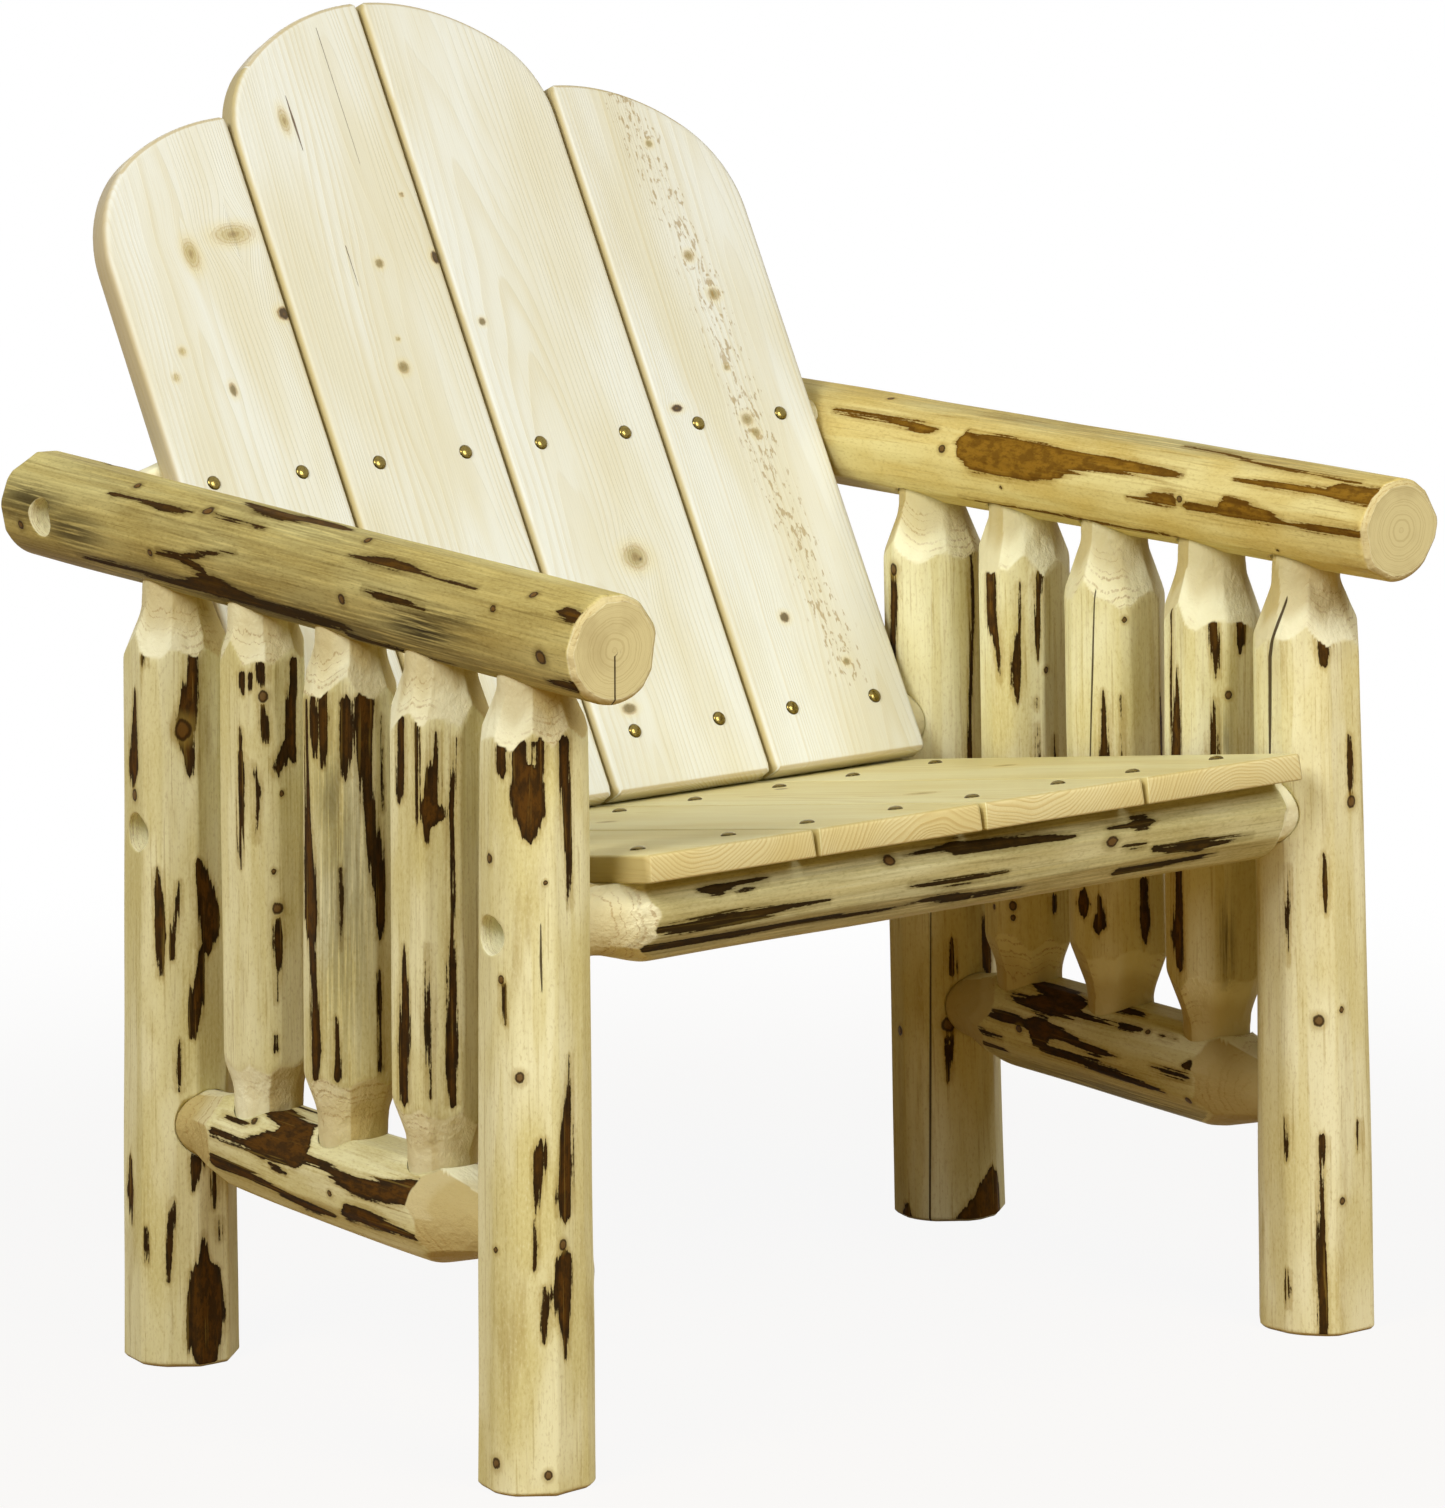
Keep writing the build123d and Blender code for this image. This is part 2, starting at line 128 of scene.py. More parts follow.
class Log:
    """One peeled log, in millimetres, as a radius and marks worked out from turn and place along it.

    Along runs from 0 to length between the faces that carry the log; a tenon reaches on beyond a
    face, and a tenon of 0 leaves that end sawn. Turn is the angle round the axis, in radians.
    """

    def __init__(
        self, start, axis, length, diameters, seed, lit_turn, tenons=(0, 0), neck=9, slope=(25, 25),
        chamfer=0, strips=8, shave=1, shift=((0, 0, 0), (0, 0, 0)), bow=(0, 0, 0), hidden=((-180, 180),),
        bark=(), knots=(), checks=(), stains=(), flats=(), holes=(),
    ):
        self.start = np.array(start, float)
        self.axis, self.side = (np.array(v, float) for v in DIRECTIONS[axis])
        self.other = np.cross(self.axis, self.side)
        self.length = length
        self.radii = np.array(diameters, float) / 2
        self.tenons, self.neck, self.slope, self.chamfer = tenons, neck, slope, chamfer
        self.shift, self.bow = np.array(shift, float), np.array(bow, float)
        self.bark, self.knots = list(bark), list(knots)
        self.checks, self.stains, self.flats, self.holes = checks, stains, flats, holes
        draw = np.random.default_rng(seed)
        # Each log has its own place along the grain, so no two show the same wood.
        self.offset = draw.uniform(0, 9000, 3) * (0, 0, 1)
        self.strips = np.arange(strips) * 2 * np.pi / strips + draw.uniform(-0.22, 0.22, strips)
        self.strip_depth = draw.uniform(0.6, 2.9, strips) * shave
        self.strip_wave = draw.uniform(0, 6.3, (2, strips))
        self.round = draw.uniform(0, 6.3, 4)
        self.facets = [
            (
                np.arange(FACETS) * 2 * np.pi / FACETS + draw.uniform(-0.3, 0.3, FACETS),
                np.radians(steep + draw.uniform(-2, 3, FACETS)),
                draw.uniform(-4, 3, FACETS),
            )
            for steep in slope
        ]
        for _ in range(STREAKS):
            low, high = hidden[draw.integers(len(hidden))]
            turn = draw.uniform(low, high)
            middle = draw.uniform(0, length)
            reach = draw.uniform(18, 75)
            width = draw.uniform(1.4, 4.5) * draw.choice((1, 1, 2))
            tip = turn + draw.uniform(-6, 6)
            belly = middle + draw.uniform(-0.4, 0.4) * reach
            self.bark.append([(turn, middle - reach, 0), (turn, belly, width), (tip, middle + reach, 0)])
        for _ in range(SPECKS):
            low, high = hidden[draw.integers(len(hidden))]
            place = draw.uniform(30, length - 30)
            self.knots.append((draw.uniform(low, high), place, draw.uniform(2, 4)))
        # Facets that face the lamp side get a pale tone and the others a tan one, with a random part:
        # painted light and shade.
        lit_side = np.array([np.cos(angles - np.radians(lit_turn)) for angles, *_ in self.facets])
        self.facet_shades = np.clip(0.5 - 0.85 * lit_side + draw.uniform(-0.2, 0.2, (2, FACETS)), 0, 1)

    def bark_field(self, turn, along, radius):
        """Millimetres inside the nearest left-over of bark, negative outside.

        At a place along a mark it is the half width, less the distance round the log from the
        mark's middle, less any distance beyond its ends.
        """
        field = np.full(np.shape(along), NO_BARK)
        for mark in self.bark:
            middle, half, beyond = followed(mark, along)
            field = np.maximum(field, half - radius * np.abs(turned(turn - np.radians(middle))) - beyond)
        return field

    def nearest_knot(self, turn, along, radius):
        """Distance to the nearest knot in that knot's own radii, at most 4."""
        near = np.full(np.shape(along), NO_KNOT)
        for knot_turn, place, size in self.knots:
            round_log = radius * turned(turn - np.radians(knot_turn))
            near = np.minimum(near, np.hypot(round_log, (along - place) * 0.85) / size)
        return near

    def check_field(self, turn, along, radius):
        """Signed distance round the log from the nearest drying check, and its half width there."""

        def distance(middle):
            """Round the log from a check's middle: radius times the turn between."""
            return radius * turned(turn - np.radians(middle))

        return nearest_check(self.checks, along, distance, reach=6, fade=0.3, limit=7)

    def stain_and_shade_field(self, turn, along, radius, tone):
        """Grey weathering and painted shade as bell curves round and along the log, or below 0 a cut
        facet's tone of painted light and shade.
        """
        stain = np.zeros(np.shape(along))
        for stain_turn, place, wide, long, strength in self.stains:
            away = radius * turned(turn - np.radians(stain_turn)) / wide
            stain = np.maximum(stain, strength * np.exp(-(away**2) - ((along - place) / long) ** 2))
        return np.where(tone > 0, -tone, stain)

    def peeled(self, turn, along):
        """Radius of the peeled log: slightly oval, shaved by long flats at d / cos(turn - flat).

        Knots stand out from it by a bell curve, and bark lies in a shallow hollow.
        """
        mean = self.radii[0] + (self.radii[1] - self.radii[0]) * np.clip(along / self.length, 0, 1)
        oval = 0.010 * np.cos(2 * turn + self.round[0]) + 0.007 * np.cos(3 * turn + self.round[1])
        sway = 0.006 * np.cos(along / 61 + turn + self.round[2])
        sway = sway + 0.004 * np.cos(along / 27 - 2 * turn + self.round[3])
        whole = mean * (1.02 + oval + sway)
        swell = np.cos(along[None] / 95 + self.strip_wave[0][:, None, None])
        shaken = np.cos(along[None] / 38 + self.strip_wave[1][:, None, None])
        depth = self.strip_depth[:, None, None] + 0.45 * swell + 0.2 * shaken
        facing = np.cos(turn[None] - self.strips[:, None, None])
        flats = np.where(facing > GRAZING, (mean * 1.018 - depth) / np.maximum(facing, GRAZING), np.inf)
        body = soft_min(np.concatenate([whole[None], flats]), 0.08)
        body = body + 0.8 * np.exp(-((self.nearest_knot(turn, along, body) / 1.7) ** 2))
        return body - 0.3 * ease(-0.5, 3, self.bark_field(turn, along, body))

    def shoulder(self, turn, along, inward, end):
        """Radius of a tenon's shoulder, and its facets' tone: painted light and shade, pale on facets
        towards the lamp side and tan on those turned away.

        Facets, whose d grows with the distance inward from the tenon's root, are blended with a
        plain cone and run out in a round neck with rasp marks.
        """
        angles, slopes, lifts = (v[:, None, None] for v in self.facets[end])
        facets = FACET_FOOT + (inward[None] - lifts) * np.tan(slopes)
        facets = facets / np.maximum(np.cos(turn[None] - angles), GRAZING)
        cone = CONE_FOOT + inward * np.tan(np.radians(self.slope[end]))
        cone = HEWN_SHARE[end] * soft_min(facets, 0.12) + (1 - HEWN_SHARE[end]) * cone
        rasp = 0.3 * np.cos(9 * turn + along / 5 + self.round[1]) * np.cos(along / 3.1 + 4 * turn)
        neck = NECK_RADIUS + 0.09 * np.clip(inward, 0, 12) + rasp * ease(-self.neck + 2, 0, inward)
        return -soft_min(-np.stack([cone, neck]), 0.6), self.facet_shades[end][np.argmin(facets, axis=0)]

    def shape(self, turn, along):
        """Radius, how far the wood is cut, from 0 peeled to 1, and the tone of a cut, 0 pale to 1 tan,
        which is mostly painted light and shade.

        The peeled log is cut by planed flats, by the tenons' shoulders and by sawn ends' chamfers,
        and the smallest radius holds.
        """
        body = self.peeled(turn, along)
        radius, tone = body, np.zeros(np.shape(along))
        for angle, level, low, high in self.flats:
            flat = level / np.maximum(np.cos(turn - np.radians(angle)), GRAZING)
            flat = flat + 40 * (1 - ease(low - 7, low, along) * (1 - ease(high, high + 7, along)))
            radius = soft_min(np.stack([radius, flat]), 0.3)
        for end, tenon in enumerate(self.tenons):
            away = self.length - along if end else along
            if tenon:
                inward = away - self.neck
                shoulder, facet_shade = self.shoulder(turn, along, inward, end)
                tone = np.where(inward < SHOULDER_REACH, facet_shade, tone)
                radius = soft_min(np.stack([radius, shoulder]), 0.3)
                radius = np.where(inward < -self.neck - 1, TENON_RADIUS, radius)
            else:
                bevel = self.chamfer * (1 + 0.12 * np.cos(3 * turn + self.round[0]))
                radius = radius - np.maximum(bevel - away, 0)
                tone = np.where(away < bevel, CHAMFER_TONE, tone)
        cut = body - radius
        # Deeper cuts, at the tenon necks under the arms and rails, take more tan: partly painted shade
        # there, partly the rougher cut wood.
        tone = np.clip(tone + 0.5 * ease(4, 10, cut), 0, 1) * (cut > 0.03)
        return radius, ease(0.1, 1.0, cut), tone

    def place(self, turn, along, radius):
        """Points on the log: along the drifting axis, then out by the radius at that turn."""
        share = np.clip(along / self.length, 0, 1)[..., None]
        middle = self.start + along[..., None] * self.axis + self.bow * np.sin(np.pi * share)
        middle = middle + self.shift[0] * (1 - share) + self.shift[1] * share
        out = np.cos(turn)[..., None] * self.side + np.sin(turn)[..., None] * self.other
        return middle + radius[..., None] * out

    def wood(self, turn, along, radius, worked):
        """Table rows of cut wood: each point's place, its place in the wood, and the fields.

        Its place in the wood is across the pith twice, then along it from this log's own start.
        """
        grain = np.stack([radius * np.cos(turn), radius * np.sin(turn), along], -1) + self.offset
        rows = np.empty((np.size(turn), WORKED.stop))
        rows[:, PLACE] = self.place(turn, along, radius).reshape(-1, 3)
        rows[:, GRAIN] = grain.reshape(-1, 3)
        rows[:, MARKS] = (NO_BARK, *NO_CHECK)
        rows[:, WORKED] = (worked, NO_KNOT, 0)
        return rows

    def skin(self, turn, along):
        """Table rows of the log's own surface, and its radius there."""
        radius, worked, tone = self.shape(turn, along)
        at = turn, along, radius
        rows = self.wood(*at, CUT_WOOD)
        rows[:, MARKS] = np.stack([self.bark_field(*at), *self.check_field(*at)], -1).reshape(-1, 3)
        worked = np.stack([worked, self.nearest_knot(*at), self.stain_and_shade_field(*at, tone)], -1)
        rows[:, WORKED] = worked.reshape(-1, 3)
        return rows, radius

    def rings(self):
        """Places along the log for the rings: close on the seen part, wide on the hidden tenons."""
        seen = np.arange(0, self.length + ROW_STEP / 2, ROW_STEP)
        parts = [seen * self.length / seen[-1]]
        parts.append(np.arange(-self.tenons[0], -1, TENON_ROW_STEP))
        parts.append(np.arange(self.length + self.tenons[1], self.length + 1, -TENON_ROW_STEP))
        for end, tenon in enumerate(self.tenons):
            if not tenon:
                edge = self.chamfer * np.array([0.5, 1.0, 1.25])
                parts.append(self.length - edge if end else edge)
        places = np.unique(np.round(np.concatenate(parts), 3))
        return places[np.insert(np.diff(places) > LEAST_ROW_STEP, 0, True)]

    def build(self):
        """Points, quads, triangles and the surface fields of the whole log, with its bored holes.

        The grid of rings and columns loses a patch round each hole, which the hole's own rings
        fill. Sawn or tenon ends are closed by rings that shrink to a point.
        """
        shell = Shell()
        rings = self.rings()
        columns = np.arange(COLUMNS) * COLUMN_STEP - np.pi
        turn, along = np.meshgrid(columns, rings)
        rows, radius = self.skin(turn, along)
        number = shell.add(rows).reshape(turn.shape)
        kept = np.ones((len(rings) - 1, COLUMNS), bool)
        for hole in self.holes:
            self.bore(shell, rings, columns, number, kept, *hole)
        below, above = number[:-1], number[1:]
        grid = np.stack([below, np.roll(below, -1, 1), np.roll(above, -1, 1), above], 2)
        shell.quads.append(grid[kept])
        for end, order in ((0, slice(None, None, -1)), (-1, slice(None))):
            last, around, edge = number[end][order], columns[order], radius[end][order]
            level = np.full(COLUMNS, rings[end])
            worked = CUT_WOOD if self.tenons[end] else SAWN_WOOD
            for share in (0.965, 0.85, 0.7, 0.55, 0.4, 0.25, 0.12):
                rows = self.wood(around, level, edge * share, worked)
                rows[:, CHECK] = np.stack(self.check_field(around, level, edge * share), -1)
                ring = shell.add(rows)
                shell.bridge(last, ring)
                last = ring
            shell.fan(last, self.wood(np.zeros(1), level[:1], np.zeros(1), worked))
        rows = np.concatenate(shell.rows)
        fields = {"grain": rows[:, GRAIN] * MM, "marks": rows[:, MARKS], "worked": rows[:, WORKED]}
        return rows[:, PLACE] * MM, np.concatenate(shell.quads), np.concatenate(shell.triangles), fields

    def bore(self, shell, rings, columns, number, kept, hole_turn, hole_along, hole_radius, floor):
        """A round hole square to the axis, its floor at that distance from it.

        A patch of the grid is taken out; rings that pass from the patch's outline to the hole's
        circle lie on the log, rings of the circle's size go down the wall, and smaller ones close it.
        """
        middle = np.radians(hole_turn)
        reach = hole_radius + HOLE_MARGIN
        low, high = np.searchsorted(rings, (hole_along - reach, hole_along + reach)) - (1, 0)
        log_radius = float(np.interp(hole_along / self.length, (0, 1), self.radii))
        span = int(np.ceil((np.arcsin(hole_radius / log_radius) + 0.16) / COLUMN_STEP))
        home = int(round((turned(middle) + np.pi) / COLUMN_STEP))
        wide = np.arange(home - span, home + span + 1) % COLUMNS
        kept[np.ix_(np.arange(low, high), wide[:-1])] = False
        lower, upper = number[low, wide[:-1]], number[high, wide[:0:-1]]
        last = np.concatenate([lower, number[low:high, wide[-1]], upper, number[high:low:-1, wide[0]]])
        row, column = np.divmod(last, COLUMNS)
        edge_turn = turned(columns[column] - middle) * log_radius
        edge_along = rings[row] - hole_along
        bearing = np.arctan2(edge_along, edge_turn)
        rim = hole_radius + HOLE_EASE
        rim_turn = log_radius * np.arcsin(rim / log_radius * np.cos(bearing))
        rim_along = rim * np.sin(bearing)
        for share in (0.45, 0.8, 1.0):
            turn = (edge_turn + (rim_turn - edge_turn) * share) / log_radius + middle
            along = edge_along + (rim_along - edge_along) * share + hole_along
            rows, radius = self.skin(turn[None], along[None])
            ring = shell.add(rows)
            shell.bridge(last, ring)
            last = ring
        height = radius[0] * np.cos(turn - middle)
        wall = [(1, HOLE_EASE / np.maximum(height - floor, 1)), (1, 0.35), (1, 0.7), (1, 1)]
        for size, depth in wall + [(0.93, 1), (0.6, 1), (0.25, 1)]:
            deep = height + (floor - height) * depth
            across = hole_radius * size * np.cos(bearing)
            along = hole_along + hole_radius * size * np.sin(bearing)
            turn = middle + np.arctan2(across, deep)
            ring = shell.add(self.wood(turn, along, np.hypot(deep, across), CUT_WOOD))
            shell.bridge(last, ring)
            last = ring
        shell.fan(last, self.wood(np.array([middle]), np.array([hole_along]), np.array([floor]), CUT_WOOD))


def make_piece(name, node, slot, points, quads, triangles, fields, material):
    """A mesh piece in place of a CAD node, with its surface fields as point attributes."""
    mesh = bpy.data.meshes.new(name)
    corners = np.concatenate([quads.ravel(), triangles.ravel()])
    used, corners = np.unique(corners, return_inverse=True)
    points = points[used]
    starts = np.concatenate([np.arange(len(quads)) * 4, len(quads) * 4 + np.arange(len(triangles)) * 3])
    mesh.vertices.add(len(points))
    mesh.vertices.foreach_set("co", points.ravel())
    mesh.loops.add(len(corners))
    mesh.loops.foreach_set("vertex_index", corners.astype(np.int32))
    mesh.polygons.add(len(starts))
    mesh.polygons.foreach_set("loop_start", starts.astype(np.int32))
    mesh.polygons.foreach_set("use_smooth", np.ones(len(starts), bool))
    for field, values in fields.items():
        kind, part = ("FLOAT_VECTOR", "vector") if values.ndim == 2 else ("FLOAT", "value")
        attribute = mesh.attributes.new(field, kind, "POINT")
        attribute.data.foreach_set(part, values[used].astype(np.float32).ravel())
    mesh.update(calc_edges=True)
    mesh.validate()
    mesh.materials.append(material)
    piece = bpy.data.objects.new(name, mesh)
    bpy.context.scene.collection.objects.link(piece)
    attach(piece, "root")
    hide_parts(node)


class Shade:
    """A socket in a material's nodes: arithmetic on it adds Math nodes, node() adds any other."""

    def __init__(self, tree, socket=None):
        self.tree, self.socket = tree, socket

    def node(self, kind, inputs, output=0, **settings):
        """One node: its settings first, then a value or a link for each socket that is named."""
        made = self.tree.nodes.new(kind)
        for setting, value in settings.items():
            setattr(made, setting, value)
        for name, value in inputs.items():
            if isinstance(value, Shade):
                self.tree.links.new(value.socket, made.inputs[name])
            else:
                made.inputs[name].default_value = value
        return Shade(self.tree, made.outputs[output])

    def math(self, operation, *values):
        """A Math node of that operation."""
        return self.node("ShaderNodeMath", dict(enumerate(values)), operation=operation)

    def __add__(self, other):
        return self.math("ADD", self, other)

    def __sub__(self, other):
        return self.math("SUBTRACT", self, other)

    def __rsub__(self, other):
        return self.math("SUBTRACT", other, self)

    def __mul__(self, other):
        return self.math("MULTIPLY", self, other)

    def __pow__(self, other):
        return self.math("POWER", self, other)

    __radd__, __rmul__ = __add__, __mul__

    def step(self, low, high):
        """Smooth step from 0 at low to 1 at high."""
        ends = {"Value": self, "From Min": low, "From Max": high}
        return self.node("ShaderNodeMapRange", ends, interpolation_type="SMOOTHSTEP")

    def band(self, low, high, end, gone):
        """1 between two values: up from low to high, and down again from end to gone."""
        return self.step(low, high) * (1 - self.step(end, gone))

    def attribute(self, name):
        """One of the piece's own vector fields."""
        return self.node("ShaderNodeAttribute", {}, 1, attribute_name=name)

    def parts(self):
        """The three parts of a vector."""
        split = self.node("ShaderNodeSeparateXYZ", {0: self})
        return [Shade(self.tree, socket) for socket in split.socket.node.outputs]

    def stretched(self, *scale):
        """A vector times a scale for each of its parts."""
        return self.node("ShaderNodeVectorMath", {0: self, 1: scale}, operation="MULTIPLY")

    def noise(self, scale, detail=2.0, rough=0.5):
        """Noise in space at this vector."""
        inputs = {"Vector": self, "Scale": scale, "Detail": detail, "Roughness": rough}
        return self.node("ShaderNodeTexNoise", inputs)

    def wander(self, scale):
        """Noise along a line at this value."""
        inputs = {"W": self, "Scale": scale, "Detail": 1.0}
        return self.node("ShaderNodeTexNoise", inputs, noise_dimensions="1D")

    def mix(self, first, second):
        """Colour between two others, by this mask."""
        return self.node("ShaderNodeMix", {0: self, 6: first, 7: second}, 2, data_type="RGBA")


def paint(red, green, blue):
    """A colour as a screen shows it, 0 to 255, turned into the linear one that light works with."""
    share = np.array([red, green, blue]) / 255
    linear = np.where(share <= 0.04045, share / 12.92, ((share + 0.055) / 1.055) ** 2.4)
    return (*linear.tolist(), 1.0)


def layered(colour, *layers):
    """A colour with others laid over it in turn, each by its own mask."""
    for mask, over in layers:
        colour = mask.mix(colour, over if isinstance(over, Shade) else paint(*over))
    return colour


def new_material(name):
    """A material with one Principled shader: its tree's first Shade, and the shader node."""
    material = bpy.data.materials.new(name)
    material.use_nodes = True
    tree = material.node_tree
    return material, Shade(tree), tree.nodes["Principled BSDF"]


def surface(shade, shader, colour, rough, height, depth):
    """Links colour, roughness and a bump of that depth in metres to the shader."""
    bump = shade.node("ShaderNodeBump", {"Strength": 1.0, "Distance": depth, "Height": height})
    for socket, value in (("Base Color", colour), ("Roughness", rough), ("Normal", bump)):
        shade.tree.links.new(value.socket, shader.inputs[socket])


CUT_PALE, CUT_WARM, CUT_SHADE_TAN, CUT_LINE = (248, 247, 214), (232, 222, 170), (190, 169, 106), (160, 122, 62)
SAWN_PALE, SAWN_LINE, SAWN_GREY = (214, 203, 152), (160, 136, 80), (160, 140, 92)
WEATHERING_AND_SHADE, KNOT_HEART, KNOT_RIM, LOG_CHECK = (44, 32, 6), (98, 66, 26), (48, 30, 8), (58, 38, 14)


def peeled_wood(name, pale, tan, streak, bark_dark, bark_light):
    """Peeled pine: fibre streaks, growth rings where a tool cuts across them, bark, knots, checks, and
    painted shade.

    The fields of the log decide where bark, cut wood, sawn ends, knots and checks lie, and noise
    drawn out along the grain frays their edges.
    """
    material, shade, shader = new_material(name)
    grain = shade.attribute("grain")
    bark, crack, crack_width = shade.attribute("marks").parts()
    worked, knot, stain = shade.attribute("worked").parts()
    across, over, _ = grain.parts()
    broad = grain.stretched(1, 1, 0.045).noise(75, 3)
    fibre = grain.stretched(1, 1, 0.03).noise(460, 4, 0.62)
    blotch = grain.stretched(1, 1, 0.35).noise(24, 3)
    fray = grain.stretched(1, 1, 0.1).noise(210, 4, 0.62)
    splinter = grain.stretched(1, 1, 0.03).noise(400, 2)
    fleck = grain.stretched(1, 1, 0.4).noise(640, 3, 0.6)
    hewn = grain.stretched(1, 1, 0.8).noise(120, 4, 0.62)
    smear = grain.stretched(1, 1, 0.14).noise(46, 4, 0.62)
    mottle = grain.stretched(1, 1, 0.45).noise(170, 3, 0.6)
    pith = (across * across + over * over) ** 0.5 * 1000 + broad * 3.5 + (fray - 0.5) * 1.6
    late = pith.wander(0.5).band(0.5, 0.57, 0.6, 0.72)
    cut, sawn, deep = worked.step(0.05, 0.95), worked.step(1.3, 1.8), 0 - stain
    peeled = layered(
        paint(*pale),
        (blotch.step(0.35, 0.68), tan),
        (broad.step(0.52, 0.6) * 0.55, tan),
        (smear.step(0.55, 0.75) * 0.45, streak),
        (fibre.step(0.5, 0.78) * 0.35, streak),
        (splinter.step(0.62, 0.7) * 0.35, streak),
        (fleck.step(0.5, 0.75) * 0.3, streak),
        (fleck.step(0.5, 0.25) * 0.35, pale),
    )
    # On cut wood deep, the cut's tone, lays tan over the pale: painted shade on facets turned from the
    # lamp and on deep necks.
    shaved = layered(
        paint(*CUT_PALE),
        (blotch.step(0.4, 0.7) * 0.6, CUT_WARM),
        (deep * 0.9, CUT_SHADE_TAN),
        (late * blotch.step(0.44, 0.6) * fleck.step(0.35, 0.6) * 0.55, CUT_LINE),
    )
    ends = layered(paint(*SAWN_PALE), (late * 0.25, SAWN_LINE), (blotch.step(0.45, 0.7) * 0.35, SAWN_GREY))
    torn = bark + (fray - 0.5) * 3.2 + (splinter - 0.5) * 9.5 + (fleck - 0.5) * 2.4
    left = torn.step(-0.5, 0.4) * (1 - worked.step(0.3, 0.7))
    husk = layered(
        paint(*bark_light),
        (0.8 - torn.step(0.5, 5.0) * 0.55, bark_dark),
        (mottle.step(0.42, 0.6) * 0.6, bark_dark),
        (fleck.step(0.5, 0.72) * 0.5, bark_dark),
        (splinter.step(0.62, 0.7) * 0.3, streak),
    )
    eye = knot + (fray - 0.5) * 0.9
    ring = eye.band(0.55, 0.85, 0.95, 1.2)
    split = 1 - (crack.math("ABSOLUTE", crack) - crack_width).step(-0.25, 0.35)
    colour = layered(
        peeled,
        (cut * 0.95, shaved),
        (sawn, ends),
        (torn.step(-5.0, 0.5) * 0.55 * (1 - cut), streak),
        (left * 0.98, husk),
        # Grey weathering, and on some logs painted shade under them or under the seat.
        (stain * fibre.step(0.3, 0.55), WEATHERING_AND_SHADE),
        ((1 - eye.step(1.0, 2.4)) * 0.5, streak),
        ((1 - eye.step(0.7, 1.15)) * 0.9, KNOT_HEART),
        (ring * 0.85, KNOT_RIM),
        (split * 0.92, LOG_CHECK),
    )
    rough = 0.5 + left * 0.2 + cut * 0.05 + fibre * 0.12
    tooled = (fleck * 0.35 + (hewn - 0.5) * 4.0) * cut * (1 - sawn)
    height = fibre * 0.5 + fray * left * 0.9 - split * 2.0 - ring * 0.6 + tooled
    surface(shade, shader, colour, rough, height, 0.0005)
    shader.inputs["Specular IOR Level"].default_value = 0.06
    return material


# The far side frame's copy is paler, with lighter bark: painted light on that frame.
NEAR_BARK, FAR_LIT_BARK = ((20, 6, 0), (94, 58, 8)), ((28, 11, 0), (108, 70, 10))
near_wood = peeled_wood("peeled_log", (235, 232, 190), (213, 204, 144), (160, 136, 66), *NEAR_BARK)
far_lit_wood = peeled_wood("peeled_far_frame_lit", (238, 234, 194), (220, 210, 152), (170, 143, 66), *FAR_LIT_BARK)
frame_wood = {"left": near_wood, "right": far_lit_wood}
OUTWARD = {"left": -1, "right": 1}
POST_X, FRONT_Y, REAR_Y = 340.5, -305.0, 117.0
CROSS_RAIL_HEIGHT = 380
RAIL_HEIGHT = {"left": 171, "right": 161}
RAIL_RISE = {"left": dict(front=-1.5, rear=3), "right": dict(front=2, rear=4)}
ARM_HEIGHT, ARM_RADIUS, ARM_TENON = 584, 36.5, 37
SHOULDER_HEIGHT = ARM_HEIGHT - ARM_RADIUS + 0.5
POST_DIAMETERS, POST_SEED, FOOT_CHAMFER = (79, 71), 11, 2.5
POST_BORE_FLOOR, CROSS_MORTISE_FLOOR, RAIL_MORTISE_FLOOR = 10.7, 12.4, 12
HIDDEN_SIDE = ((-28, 130),)
LIT_TURN = {"left": -190, "right": -110}
LEAN = {"left": ((-4, -5), (-2.5, -1)), "right": ((6, 5.5), (-14, -14))}


def lean(side, y, z):
    """How far a side frame stands across from true, from its posts' feet and tops, front and rear."""
    share = (y - FRONT_Y) / (REAR_Y - FRONT_Y)
    foot, top = (front + (rear - front) * share for front, rear in LEAN[side])
    return np.array([foot + (top - foot) * z / ARM_HEIGHT, 0, 0])
